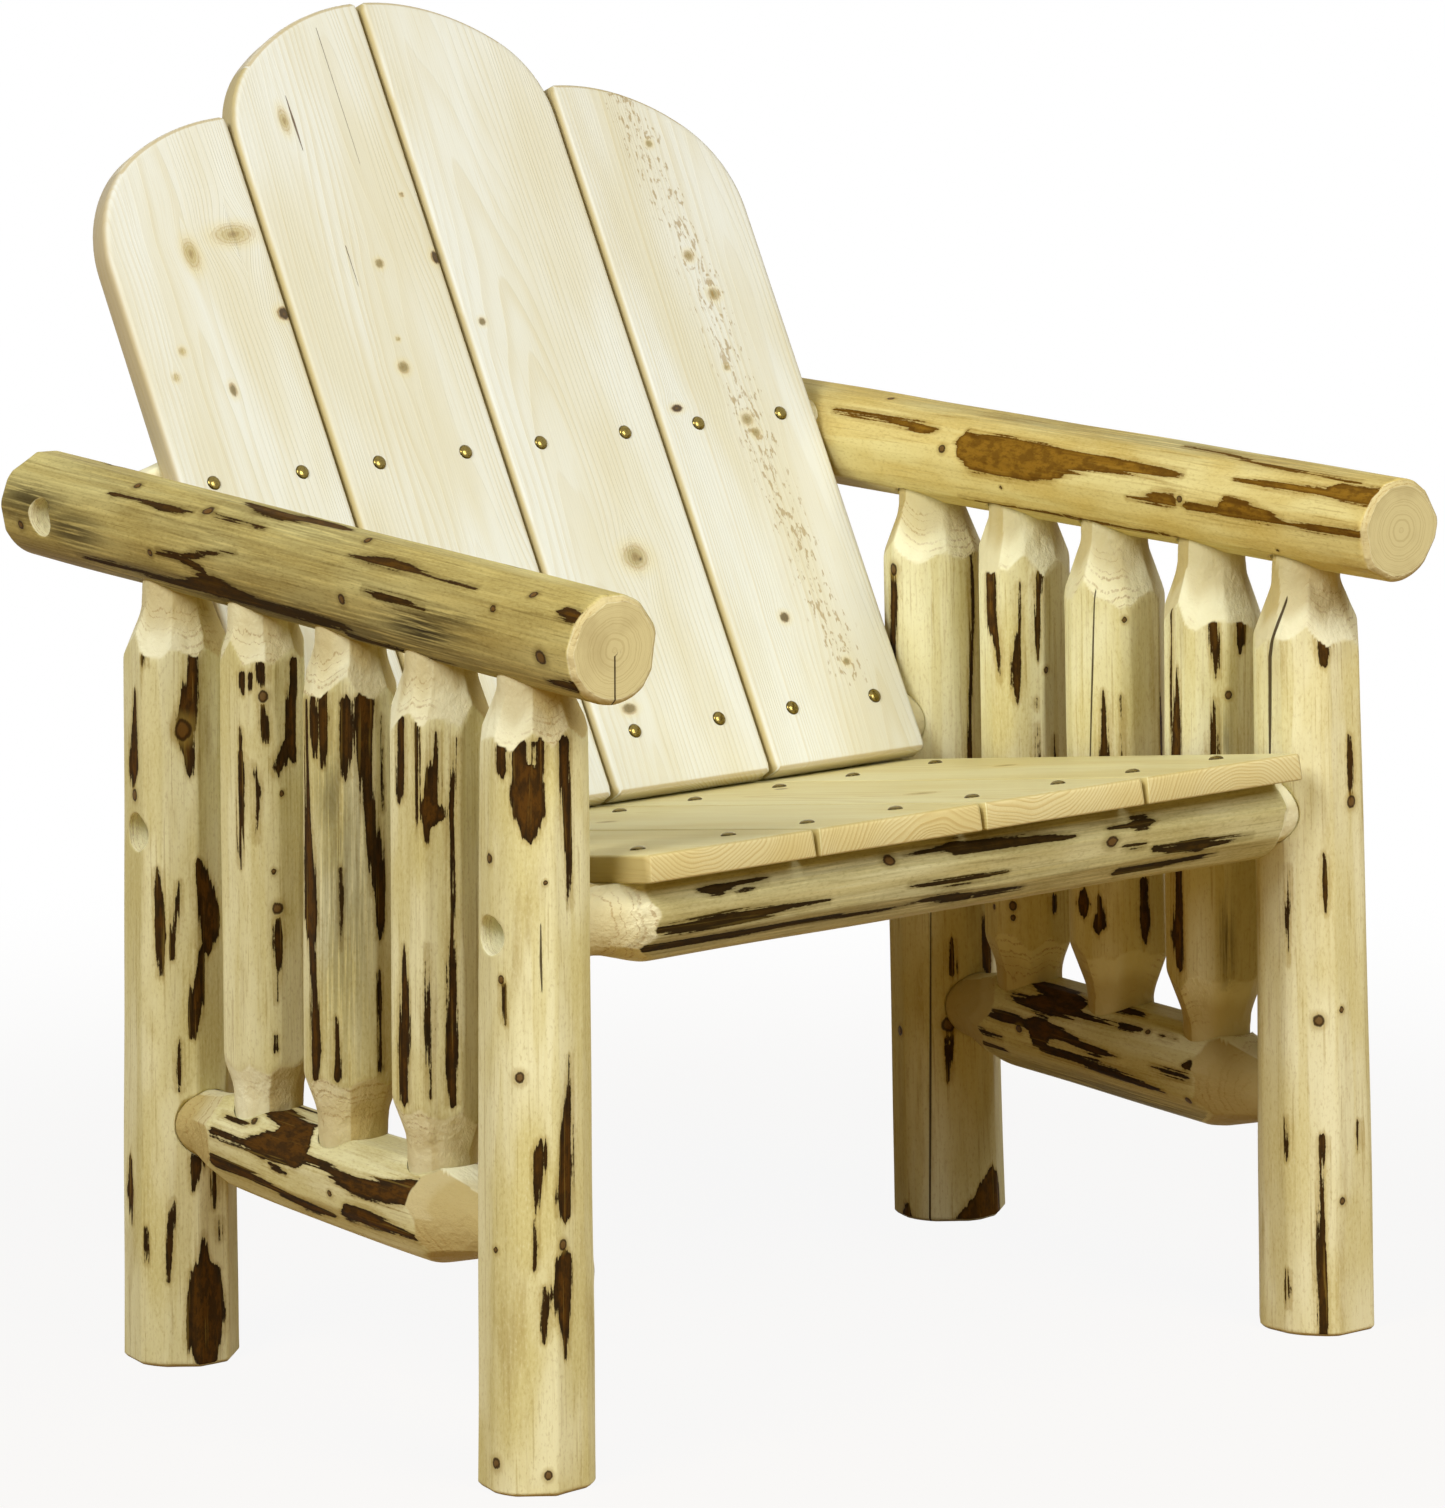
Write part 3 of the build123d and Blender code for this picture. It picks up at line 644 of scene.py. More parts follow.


# Bark and checks are rows of (turn in degrees, along, half width); knots are (turn, along, radius);
# stains are (turn, along, half width, half length, strength): grey weathering, and on some logs painted
# shade.
post_marks = {
    "left_rear": dict(
        bark=[
            [(-106, 522, 3), (-106, 500, 3.4), (-110, 480, 5.5), (-114, 465, 7), (-117, 452, 6),
             (-111, 435, 3), (-110, 422, 1)],
            [(-183, 480, 1), (-184, 465, 3), (-186, 445, 6), (-188, 425, 8), (-190, 412, 3)],
            [(-164, 512, 0.4), (-163, 505, 1.4), (-163, 499, 0.4)],
            [(-148, 357, 0.4), (-147, 340, 2.4), (-145, 315, 4), (-146, 300, 3), (-146, 280, 0.5)],
            [(-123, 348, 0.4), (-126, 330, 2), (-131, 300, 1.6), (-131, 292, 0.4)],
            [(-102, 362, 3), (-98, 350, 6), (-94, 340, 8), (-90, 325, 9), (-88, 312, 8), (-90, 298, 4)],
            [(-99, 300, 2), (-101, 285, 3), (-105, 265, 5), (-108, 250, 4), (-110, 236, 1)],
            [(-124, 235, 0.4), (-125, 215, 1.5), (-125, 198, 1)],
            [(-106, 156, 4), (-107, 145, 5), (-111, 126, 0.5)],
            [(-86, 140, 1), (-85, 125, 2.4), (-86, 112, 0.6)],
            [(-80, 105, 1), (-80, 95, 2), (-80, 88, 0.6)],
            [(-133, 122, 0.4), (-134, 110, 2), (-136, 90, 2), (-139, 62, 0.6)],
            [(-163, 100, 0.4), (-162, 85, 1.4), (-162, 73, 0.4)],
            [(-197, 145, 2), (-195, 120, 5), (-192, 98, 1)],
            [(-101, 98, 0.4), (-101, 85, 3.4), (-100, 76, 5.5), (-98, 70, 11), (-96, 50, 14),
             (-96, 35, 14.5), (-98, 22, 13.5), (-99, 10, 11), (-98, 3, 8)],
        ],
        knots=[(-118, 455, 6), (-184, 406, 3.4)],
    ),
    "left_front": dict(
        bark=[
            [(-160, 512, 4.6), (-160, 492, 4.4), (-160, 489, 2)],
            [(-141, 512, 4.4), (-141, 498, 4.4), (-131, 492, 10), (-133, 478, 11.5), (-131, 465, 10.5),
             (-130, 448, 4)],
            [(-119, 512, 3.8), (-119, 495, 3.4), (-120, 484, 3)],
            [(-90, 512, 4.8), (-90, 490, 4.8), (-87, 465, 4), (-84, 440, 3), (-83, 415, 1.5),
             (-83, 398, 0.4)],
            [(-119, 245, 1.5), (-121, 235, 4.4), (-122, 222, 4), (-124, 205, 2), (-125, 193, 0.4)],
            [(-127, 190, 0.6), (-126, 172, 1.2), (-127, 156, 0.8)],
            [(-86, 300, 0.5), (-87, 275, 2.4), (-90, 250, 5), (-92, 225, 6.5), (-94, 205, 7),
             (-93, 191, 5)],
            [(-95, 163, 7), (-96, 150, 7.5), (-98, 140, 8), (-96, 125, 6), (-94, 110, 3.4), (-92, 93, 1)],
            [(-117, 144, 1.5), (-116, 135, 2.6), (-117, 120, 2.6), (-118, 106, 1)],
            [(-160, 350, 1.6), (-160, 335, 2), (-158, 322, 0.4)],
        ],
        knots=[(-178, 432, 3), (-114, 418, 1.6), (-141, 287, 3.4), (-161, 352, 2.2), (-97, 172, 3),
               (-167, 168, 2.2), (-167, 21.5, 3.4), (-114, 15, 2.6)],
        checks=[[(-119, 390, 0.2), (-119, 365, 0.7), (-118, 345, 0.2)]],
    ),
    "right_rear": dict(
        bark=[
            [(-178, 490, 3), (-178, 475, 4.4), (-180, 455, 4.6), (-183, 435, 4.8), (-184, 412, 4)],
            [(-78, 505, 1.5), (-82, 450, 1.5), (-88, 400, 2), (-92, 360, 2.5), (-92, 342, 2)],
            [(-118, 216, 1), (-118, 190, 2.5)],
            [(-78, 232, 1), (-74, 212, 6), (-72, 195, 7), (-72, 187, 3)],
            [(-123, 148, 3), (-124, 130, 3), (-125, 108, 0.4)],
            [(-76, 37, 3), (-78, 30, 11), (-82, 18, 17), (-88, 5, 22), (-89, 0, 23)],
            [(-176, 12, 1), (-175, 0, 7)],
        ],
        knots=[(-177, 493, 4), (-125, 151, 4.5), (-182, 143, 3)],
        checks=[[(-140, 240, 0.3), (-144, 120, 0.8), (-148, 0, 0.7)]],
        diameters=(84, 75),
    ),
    "right_front": dict(
        bark=[
            [(-113, 512, 4.6), (-113, 495, 4.4), (-113, 487, 2.5)],
            [(-82, 434, 1), (-81, 420, 2.4), (-81, 400, 3), (-82, 390, 2)],
            [(-117, 352, 0.4), (-116, 335, 2), (-117, 320, 2), (-117, 308, 0.4)],
            [(-154, 343, 0.5), (-155, 320, 1.6), (-157, 302, 2.6), (-156, 285, 1), (-156, 270, 0.3)],
            [(-123, 147, 2.2), (-123, 138, 2.6), (-124, 120, 1.4), (-125, 85, 2.2), (-126, 65, 3),
             (-126, 40, 3.4), (-126, 0, 3)],
            [(-160, 160, 0.4), (-160, 140, 1.8), (-160, 127, 0.3)],
            [(-161, 48, 0.6), (-161, 34, 1.8), (-161, 19, 0.3)],
            [(-81, 155, 1), (-81, 145, 1.6), (-81, 133, 0.3)],
        ],
        knots=[(-82, 386.5, 3.6), (-125, 231, 3.6), (-101, 238, 2), (-104, 99, 2.4)],
        checks=[
            [(-162, 530, 0.8), (-168, 515, 1.2), (-175, 490, 1.5), (-176, 450, 1.4), (-177, 420, 0.8)],
        ],
        diameters=(84, 76),
    ),
}
for seed, (place, marks) in enumerate(post_marks.items(), POST_SEED):
    side, row = place.split("_")
    y, inner_turn = (FRONT_Y, 90) if row == "front" else (REAR_Y, -90)
    outer_turn = 180 if side == "left" else 0
    log = Log(
        (OUTWARD[side] * POST_X, y, 0),
        "z",
        SHOULDER_HEIGHT,
        marks.pop("diameters", POST_DIAMETERS),
        seed,
        LIT_TURN[side],
        tenons=(0, ARM_TENON),
        neck=6,
        slope=(21, 21),
        chamfer=FOOT_CHAMFER,
        shift=(lean(side, y, 0), lean(side, y, SHOULDER_HEIGHT)),
        hidden=HIDDEN_SIDE,
        holes=[
            (outer_turn, CROSS_RAIL_HEIGHT, COUNTERBORE_RADIUS, POST_BORE_FLOOR),
            (outer_turn + 180, CROSS_RAIL_HEIGHT, MORTISE_RADIUS, CROSS_MORTISE_FLOOR),
            (inner_turn, RAIL_HEIGHT[side] + RAIL_RISE[side][row], MORTISE_RADIUS, RAIL_MORTISE_FLOOR),
        ],
        **marks,
    )
    make_piece(f"{place}_log", f"{place}_post", "peeled_log", *log.build(), frame_wood[side])

# Lower rails: one peeled log low in each side frame, from the front post to the rear post. Both ends
# are drawn down by long facets to a round tenon, and three mortises on top take the spindles.
POST_FACE = 38
RAIL_START, RAIL_LENGTH = FRONT_Y + POST_FACE, REAR_Y - FRONT_Y - 2 * POST_FACE
RAIL_SEED, RAIL_TENON, RAIL_LIT_TURN = 31, 25, 60
SPINDLE_ROWS = ("front", "middle", "rear")
SPINDLE_PITCH, SPINDLE_MORTISE_FLOOR = 105.5, 6.5
SPINDLE_SLIP = {"left": ((0, 0), (0, 0), (-4, 0)), "right": ((1, -3), (3, 0), (3, 0))}
rail_marks = {
    "left": dict(
        bark=[
            [(-113, 46, 1), (-109, 75, 4), (-108, 100, 7), (-107, 120, 7.5), (-110, 135, 7),
             (-114, 140, 4)],
            [(-122, 155, 2), (-124, 175, 4.6), (-124, 195, 5), (-118, 212, 4.4), (-111, 235, 3.8),
             (-109, 262, 4.4), (-109, 298, 6)],
            [(-50, 38, 9), (-58, 42, 11), (-60, 50, 10.4), (-63, 65, 9.6), (-69, 82, 8), (-73, 107, 7),
             (-73, 125, 6.4), (-69, 145, 4.6), (-65, 160, 3.4), (-64, 176, 3), (-64, 185, 5),
             (-56, 194, 14), (-46, 203, 19), (-48, 218, 18), (-50, 229, 17), (-63, 231, 11), (-64, 240, 9),
             (-68, 250, 5), (-72, 262, 2.6), (-73, 298, 3)],
            [(-30, 212, 8), (-22, 235, 10), (-12, 255, 10), (-2, 272, 8), (4, 286, 2)],
            [(-50, 262, 1), (-49, 280, 1.6), (-49, 298, 1)],
            [(-87, 204, 1.4), (-85, 215, 2.6), (-83, 225, 1.5)],
        ],
        knots=[(-43, 258, 3), (-92, 151, 2.4)],
        diameters=(74.5, 66),
        bow=(0, 0, -3),
    ),
    "right": dict(
        bark=[
            [(-121, 272, 1), (-119, 285, 2.6), (-118, 299, 3.6)],
            [(-110, 86, 0.4), (-108, 107, 2.5), (-104, 140, 3.8), (-102, 162, 3.5), (-100, 187, 2.4),
             (-98, 226, 3)],
            [(-84, 135, 0.4), (-84, 150, 2.6), (-85, 162, 4), (-82, 180, 3.2), (-77, 200, 4.4),
             (-76, 217, 6), (-80, 222, 11), (-80, 236, 11), (-76, 240, 5), (-76, 246, 2.6),
             (-75, 258, 3.4), (-76, 270, 4.4), (-76, 287, 1.8), (-75, 307, 1.2)],
            [(-84, 56, 0.6), (-84, 65, 1.6), (-84, 82, 2.2), (-83, 101, 0.4)],
            [(-70, 51, 1), (-68, 56, 3.4), (-71, 63, 3), (-72, 66, 0.5)],
            [(-47, 123, 1.4), (-48, 132, 2.4), (-50, 175, 2.5), (-49, 190, 3.5), (-45, 203, 7),
             (-44, 220, 9), (-47, 240, 8), (-50, 252, 5), (-48, 265, 2.5), (-46, 278, 0.4)],
            [(-36, 195, 4), (-28, 215, 8), (-24, 235, 8.5), (-22, 250, 7), (-19, 265, 3.4), (-17, 286, 2)],
            [(-26, 128, 0.6), (-24, 140, 3), (-23, 160, 5), (-23, 175, 5.4)],
            [(-47, 84, 1), (-47, 95, 1.8), (-47, 103, 0.5)],
            [(-101, 271, 0.5), (-100, 290, 2), (-99, 305, 2.6)],
        ],
        knots=[(-84, 251, 2.8), (-111, 59.5, 2.8), (-46, 115, 2.2)],
        # This stain is painted shade low along the rail, under the seat.
        stains=[(-142, 150, 12, 150, 0.7)],
        diameters=(74, 70),
    ),
}
for seed, (side, marks) in enumerate(rail_marks.items(), RAIL_SEED):
    height, rise = RAIL_HEIGHT[side], RAIL_RISE[side]
    log = Log(
        (OUTWARD[side] * POST_X, RAIL_START, height),
        "y",
        RAIL_LENGTH,
        marks.pop("diameters"),
        seed,
        RAIL_LIT_TURN,
        tenons=(RAIL_TENON, RAIL_TENON),
        neck=3,
        slope=(15, 15),
        shift=(
            lean(side, FRONT_Y, height) + (0, 0, rise["front"]),
            lean(side, REAR_Y, height) + (0, 0, rise["rear"]),
        ),
        hidden=((10, 215),),
        holes=[
            (0, SPINDLE_PITCH * row - POST_FACE + slip, MORTISE_RADIUS, SPINDLE_MORTISE_FLOOR)
            for row, (slip, _) in enumerate(SPINDLE_SLIP[side], 1)
        ],
        **marks,
    )
    make_piece(f"{side}_lower_log", f"{side}_lower_rail", "peeled_log", *log.build(), near_wood)

# Spindles: three short peeled logs in each side frame between the lower rail and the arm. Each end is
# cut to a steep faceted shoulder and a rasped round neck, glued into its bored mortise.
RAIL_TOP = 33
SPINDLE_SEED, SPINDLE_FOOT_TENON, SPINDLE_TAPER = 51, 26, 1.5
SPINDLE_DIAMETERS = {"left": (69, 67, 62), "right": (74, 74, 68)}
spindle_marks = {
    "left_rear": dict(
        bark=[
            [(-153, 305, 3), (-153, 297, 2.6), (-152, 291, 0.5)],
            [(-141, 305, 1.6), (-141, 295, 1)],
            [(-127, 312, 3.6), (-126, 302, 3), (-126, 296, 0.5)],
            [(-126, 284, 0.5), (-124, 272, 2.6), (-123, 262, 2), (-123, 257, 0.4)],
            [(-157, 267, 0.4), (-157, 258, 1.4), (-157, 252, 0.3)],
            [(-157, 250, 2.4), (-157, 230, 3), (-158, 205, 2.6), (-159, 192, 2), (-160, 180, 2),
             (-160, 169, 0.4)],
            [(-138, 244, 0.5), (-136, 235, 2), (-133, 225, 2.4), (-136, 205, 1.4), (-137, 188, 0.4)],
            [(-79, 313, 3), (-80, 300, 3.4), (-84, 280, 4.4), (-86, 262, 5), (-84, 248, 4), (-82, 242, 1)],
            [(-94, 258, 3), (-100, 248, 5), (-104, 240, 4.4), (-107, 233, 0.8)],
            [(-110, 134, 1.5), (-109, 122, 3.8), (-110, 108, 2.6), (-110, 94, 0.8), (-111, 76, 0.3)],
            [(-115, 53, 0.4), (-116, 42, 1.2)],
        ],
        knots=[(-125, 290, 3.4), (-102, 222, 1.8), (-114, 168, 1.8), (-110, 142, 3.6)],
    ),
    "left_middle": dict(
        bark=[
            [(-174, 306, 2.4), (-173, 292, 4.2), (-172, 275, 4), (-172, 262, 1)],
            [(-159, 309, 2.6), (-159, 292, 4), (-160, 272, 3.4), (-161, 256, 0.5)],
            [(-130, 304, 4), (-130, 285, 5), (-131, 268, 4), (-132, 249, 1)],
            [(-107, 306, 7.5), (-109, 290, 7), (-109, 270, 5), (-107, 250, 4.2), (-105, 230, 5),
             (-102, 205, 4), (-99, 168, 0.5)],
            [(-92, 220, 0.5), (-90, 205, 3), (-88, 180, 4.5), (-88, 150, 4), (-89, 138, 1)],
            [(-86, 292, 0.6), (-86, 225, 0.8)],
            [(-138, 188, 0.4), (-138, 165, 1.6), (-138, 150, 1.4), (-138, 132, 0.4)],
            [(-145, 84, 0.5), (-144, 70, 1.4), (-143, 55, 2.4), (-143, 42, 3)],
            [(-92, 115, 0.5), (-91, 95, 1.4), (-91, 75, 0.6), (-90, 60, 1.6), (-90, 46, 2)],
            [(-190, 300, 1.5), (-190, 255, 3), (-189, 220, 5), (-187, 185, 9), (-186, 150, 10.5),
             (-182, 133, 5), (-176, 105, 3.4), (-175, 85, 4.8), (-173, 60, 6), (-173, 38, 3)],
        ],
        stains=[(-136, 175, 20, 110, 0.55), (-150, 235, 12, 40, 0.6)],
    ),
    "left_front": dict(
        bark=[
            [(-182, 305, 4.4), (-182, 275, 4.4), (-183, 255, 4), (-184, 247, 2)],
            [(-154, 305, 1.2), (-154, 285, 2), (-153, 260, 2.4), (-153, 240, 2.4), (-154, 224, 0.5)],
            [(-131, 298, 0.6), (-133, 280, 2.6), (-137, 260, 5), (-139, 250, 6), (-141, 242, 6),
             (-143, 233, 2.5), (-142, 222, 0.5)],
            [(-143, 252, 4), (-138, 246, 9), (-136, 240, 9), (-138, 235, 3)],
            [(-107, 294, 0.5), (-109, 275, 1.6), (-111, 260, 2.4), (-113, 248, 3.4), (-112, 210, 2.2),
             (-111, 190, 1.6), (-112, 165, 2), (-113, 140, 3), (-112, 115, 3.4), (-113, 90, 4),
             (-115, 70, 4), (-114, 43, 2.6)],
            [(-141, 154, 0.3), (-141, 135, 1.2), (-141, 115, 2.8), (-141, 95, 2.8), (-141, 70, 1.4),
             (-141, 48, 0.5)],
            [(-178, 151, 0.5), (-178, 140, 2), (-177, 120, 4), (-177, 100, 5), (-178, 80, 5.4),
             (-178, 43, 4)],
        ],
    ),
    "right_rear": dict(
        bark=[
            [(-174, 310, 5.4), (-174, 285, 5.4), (-172, 272, 5), (-166, 262, 3), (-163, 250, 2.6),
             (-161, 231, 0.5)],
            [(-134, 305, 1.3), (-134, 275, 1.2), (-137, 262, 1.6), (-140, 245, 3), (-140, 228, 2.6),
             (-139, 215, 0.5)],
            [(-109, 310, 2.4), (-110, 275, 2.6), (-111, 258, 2), (-111, 247, 0.4)],
            [(-115, 219, 0.8), (-115, 211, 1)],
            [(-114, 200, 0.8), (-114, 172, 1.4)],
            [(-88, 190, 0.5), (-88, 172, 2)],
            [(-95, 70, 2.2), (-95, 59, 2.4)],
        ],
        knots=[(-101, 240, 2.2), (-148, 64, 3), (-148, 55, 2), (-176, 61, 1.8)],
    ),
    "right_middle": dict(
        bark=[
            [(-145, 241, 0.5), (-145, 225, 2.6), (-146, 195, 3.4), (-146, 178, 3.4)],
            [(-125, 238, 0.3), (-125, 190, 0.9)],
            [(-68, 238, 0.5), (-66, 215, 4), (-66, 185, 4)],
            [(-178, 90, 3), (-178, 82, 6.5), (-178, 74, 4)],
            [(-154, 88, 1), (-152, 78, 2.4), (-156, 66, 6), (-157, 62, 2)],
            [(-101, 101, 3), (-101, 85, 3.2), (-100, 72, 5.5), (-100, 62, 4), (-100, 54, 1.5)],
        ],
        knots=[(-120, 294, 2)],
        checks=[[(-154, 314, 0.3), (-158, 260, 0.7), (-164, 190, 0.5)]],
    ),
    "right_front": dict(
        bark=[
            [(-176, 273, 0.6), (-177, 255, 2.2), (-179, 235, 4.5), (-180, 212, 6), (-180, 195, 6)],
            [(-131, 313, 3.6), (-128, 295, 3.4), (-127, 280, 2.4), (-127, 267, 0.4)],
            [(-129, 252, 0.5), (-130, 235, 2), (-131, 215, 3.2), (-131, 198, 3.4)],
            [(-95, 313, 3.6), (-97, 292, 2.6), (-98, 284, 0.5)],
            [(-188, 320, 0.9), (-188, 195, 1)],
            [(-178, 126, 4), (-178, 100, 5), (-182, 75, 7), (-179, 60, 5), (-177, 53, 3)],
        ],
        knots=[(-113, 255, 2.6)],
        stains=[(-118, 75, 5, 34, 0.7), (-117, 220, 4, 22, 0.5)],
    ),
}
for seed, (place, marks) in enumerate(spindle_marks.items(), SPINDLE_SEED):
    side, row = place.split("_")
    number = SPINDLE_ROWS.index(row)
    y, foot = FRONT_Y + SPINDLE_PITCH * (number + 1), RAIL_HEIGHT[side] + RAIL_TOP
    wide = SPINDLE_DIAMETERS[side][number]
    foot_slip, top_slip = ((0, slip, 0) for slip in SPINDLE_SLIP[side][number])
    log = Log(
        (OUTWARD[side] * POST_X, y, foot),
        "z",
        SHOULDER_HEIGHT - foot,
        (wide, wide - SPINDLE_TAPER),
        seed,
        LIT_TURN[side],
        tenons=(SPINDLE_FOOT_TENON, ARM_TENON),
        neck=7,
        slope=(20, 18),
        shift=(lean(side, y, foot) + foot_slip, lean(side, y, ARM_HEIGHT - ARM_RADIUS) + top_slip),
        hidden=HIDDEN_SIDE,
        **marks,
    )
    make_piece(f"{place}_spindle_log", f"{place}_spindle", "peeled_log", *log.build(), frame_wood[side])

# Arms: two long peeled logs with sawn, chamfered ends, bored below for the posts and spindles. A
# counterbore near each rear end takes the bolt that draws the upper back rail into the arm.
ARM_START, ARM_LENGTH, ARM_CHAMFER = -396.0, 683, 4
ARM_SEED, ARM_LIT_TURN = 71, 0
ARM_MORTISE_FLOOR, ARM_BORE_FLOOR, UPPER_MORTISE_FLOOR = -2, 9.2, 11
UPPER_RAIL_PLACE = 630.8
NEAR_ARM_COLOURS = (212, 200, 134), (186, 168, 100), (102, 82, 28), (36, 16, 0), (96, 62, 6)
FAR_ARM_COLOURS = (228, 216, 152), (210, 187, 110), (156, 124, 48), (84, 52, 2), (152, 112, 30)
arm_wood = {
    "left": peeled_wood("peeled_near_arm", *NEAR_ARM_COLOURS),
    "right": peeled_wood("peeled_far_arm", *FAR_ARM_COLOURS),
}
arm_marks = {
    "left": dict(
        bark=[
            [(-131, 260, 1), (-130, 270, 4), (-129, 330, 5), (-127, 365, 5.2), (-123, 395, 8),
             (-120, 415, 10), (-121, 432, 9.5), (-127, 455, 4.5), (-128, 480, 3.6), (-125, 520, 2.2),
             (-125, 580, 2.4), (-124, 593, 0.4)],
            # This strip low on the arm is partly bark and partly painted shade under the arm.
            [(-146, 150, 1), (-145, 240, 3.4), (-142, 270, 4)],
            [(-72, 387, 0.3), (-78, 410, 1), (-88, 440, 3), (-92, 453, 1.2)],
            [(-105, 425, 3), (-97, 440, 3), (-92, 460, 2), (-93, 483, 0.4)],
            [(-80, 163, 0.5), (-78, 185, 2), (-77, 215, 2.4), (-76, 237, 0.4)],
            [(-45, 118, 0.3), (-44, 160, 0.8), (-43, 185, 2.4), (-42, 205, 5), (-41, 222, 5),
             (-43, 245, 2.5), (-43, 267, 0.3)],
            [(0, 303, 4), (2, 330, 8), (-6, 365, 9), (-6, 400, 7), (0, 426, 2)],
            [(-38, 369, 0.4), (-38, 380, 1.4), (-38, 388, 0.4), (-39, 410, 2), (-38, 420, 1.4),
             (-37, 433, 0.4)],
            [(-42, 454, 0.8), (-44, 470, 3), (-44, 490, 3.4), (-42, 505, 2), (-42, 520, 0.8),
             (-43, 540, 1.2), (-44, 552, 2.4), (-44, 559, 0.4)],
            [(-48, 2, 4.4), (-47, 12, 4.4), (-46, 22, 3.6), (-48, 25, 1)],
            [(-125, 0, 4.5), (-126, 15, 4), (-128, 30, 1.5), (-129, 37, 0.3)],
        ],
        knots=[(-98, 32, 4.6), (-62, 90, 2.4), (-34, 62, 3), (-93, 259, 3.6), (-18, 264, 3), (-35, 441, 4),
               (-96, 490, 2.4), (-24, 538, 3), (-104, 656, 3)],
        checks=[[(180, 0, 0.5), (180, 14, 0.2)]],
        # The long stain at turn -135 is painted shade along the arm's underside; the others are grey
        # weathering.
        stains=[(-104, 170, 17, 56, 1.0), (-82, 140, 7, 55, 0.8), (-95, 590, 18, 45, 0.85),
                (-75, 645, 16, 50, 0.9), (-15, 330, 26, 150, 0.4), (-20, 590, 22, 80, 0.35),
                (-120, 400, 26, 160, 0.4), (-60, 330, 50, 330, 0.3), (-135, 330, 24, 330, 0.75)],
        diameters=(73, 74),
        drops=(-3.5, 2.5),
        reach=0,
    ),
    "right": dict(
        bark=[
            [(-136, 208, 0.5), (-136, 230, 2.5), (-138, 260, 1.5), (-137, 300, 3), (-137, 400, 2.2),
             (-133, 456, 0.4)],
            [(-89, 4, 3), (-90, 50, 3), (-91, 80, 1.5), (-88, 100, 4.5), (-84, 125, 6.5), (-84, 150, 6.5),
             (-89, 156, 3.2), (-90, 190, 2.4)],
            [(-87, 203, 4), (-88, 225, 4), (-91, 240, 1.2), (-92, 256, 0.3)],
            [(-56, 199, 0.4), (-57, 220, 2.5), (-57, 257, 5.2), (-59, 294, 6.6), (-62, 322, 9),
             (-68, 340, 13.5), (-69, 368, 15.5), (-69, 405, 15.5), (-71, 434, 13.5), (-63, 449, 10),
             (-62, 452, 4)],
            [(-50, 479, 0.5), (-52, 490, 3), (-52, 500, 4.8), (-50, 515, 3.4), (-48, 545, 2.2),
             (-48, 580, 2.6), (-48, 606, 1)],
            [(-42, 4, 8), (-42, 30, 8), (-40, 42, 8), (-47, 52, 3.6), (-48, 90, 3.4), (-51, 115, 2.8),
             (-52, 148, 0.3)],
            [(-25, 25, 0.8), (-24, 95, 1.4), (-19, 145, 1.8), (-10, 178, 2.2), (-6, 230, 1)],
        ],
        knots=[(-84, 196, 2.4), (-73, 467, 3), (-14, 560, 2.4), (-107, 399, 1.4), (-127, 97, 1.6)],
        stains=[(-5, 300, 16, 300, 0.45)],
        diameters=(71, 72),
        drops=(5.7, -9.6),
        reach=11,
    ),
}
for seed, (side, marks) in enumerate(arm_marks.items(), ARM_SEED):
    drops, reach = marks.pop("drops"), marks.pop("reach")
    start, length, upper = ARM_START - reach, ARM_LENGTH + reach, UPPER_RAIL_PLACE + reach
    slips = enumerate(SPINDLE_SLIP[side], 1)
    spindles = [FRONT_Y + SPINDLE_PITCH * row + slip for row, (_, slip) in slips]
    outer_turn = 90 * OUTWARD[side]
    log = Log(
        (OUTWARD[side] * POST_X, start, ARM_HEIGHT),
        "y",
        length,
        marks.pop("diameters"),
        seed,
        ARM_LIT_TURN,
        chamfer=ARM_CHAMFER,
        strips=11,
        shave=0.55,
        shift=[lean(side, start + end * length, ARM_HEIGHT) + (0, 0, drops[end]) for end in (0, 1)],
        hidden=((20, 170),),
        holes=[(180, y - start, MORTISE_RADIUS, ARM_MORTISE_FLOOR) for y in (FRONT_Y, *spindles, REAR_Y)]
        + [(outer_turn, upper, COUNTERBORE_RADIUS, ARM_BORE_FLOOR)]
        + [(outer_turn + 180, upper, MORTISE_RADIUS, UPPER_MORTISE_FLOOR)],
        **marks,
    )
    make_piece(f"{side}_arm_log", f"{side}_arm", "peeled_log", *log.build(), arm_wood[side])

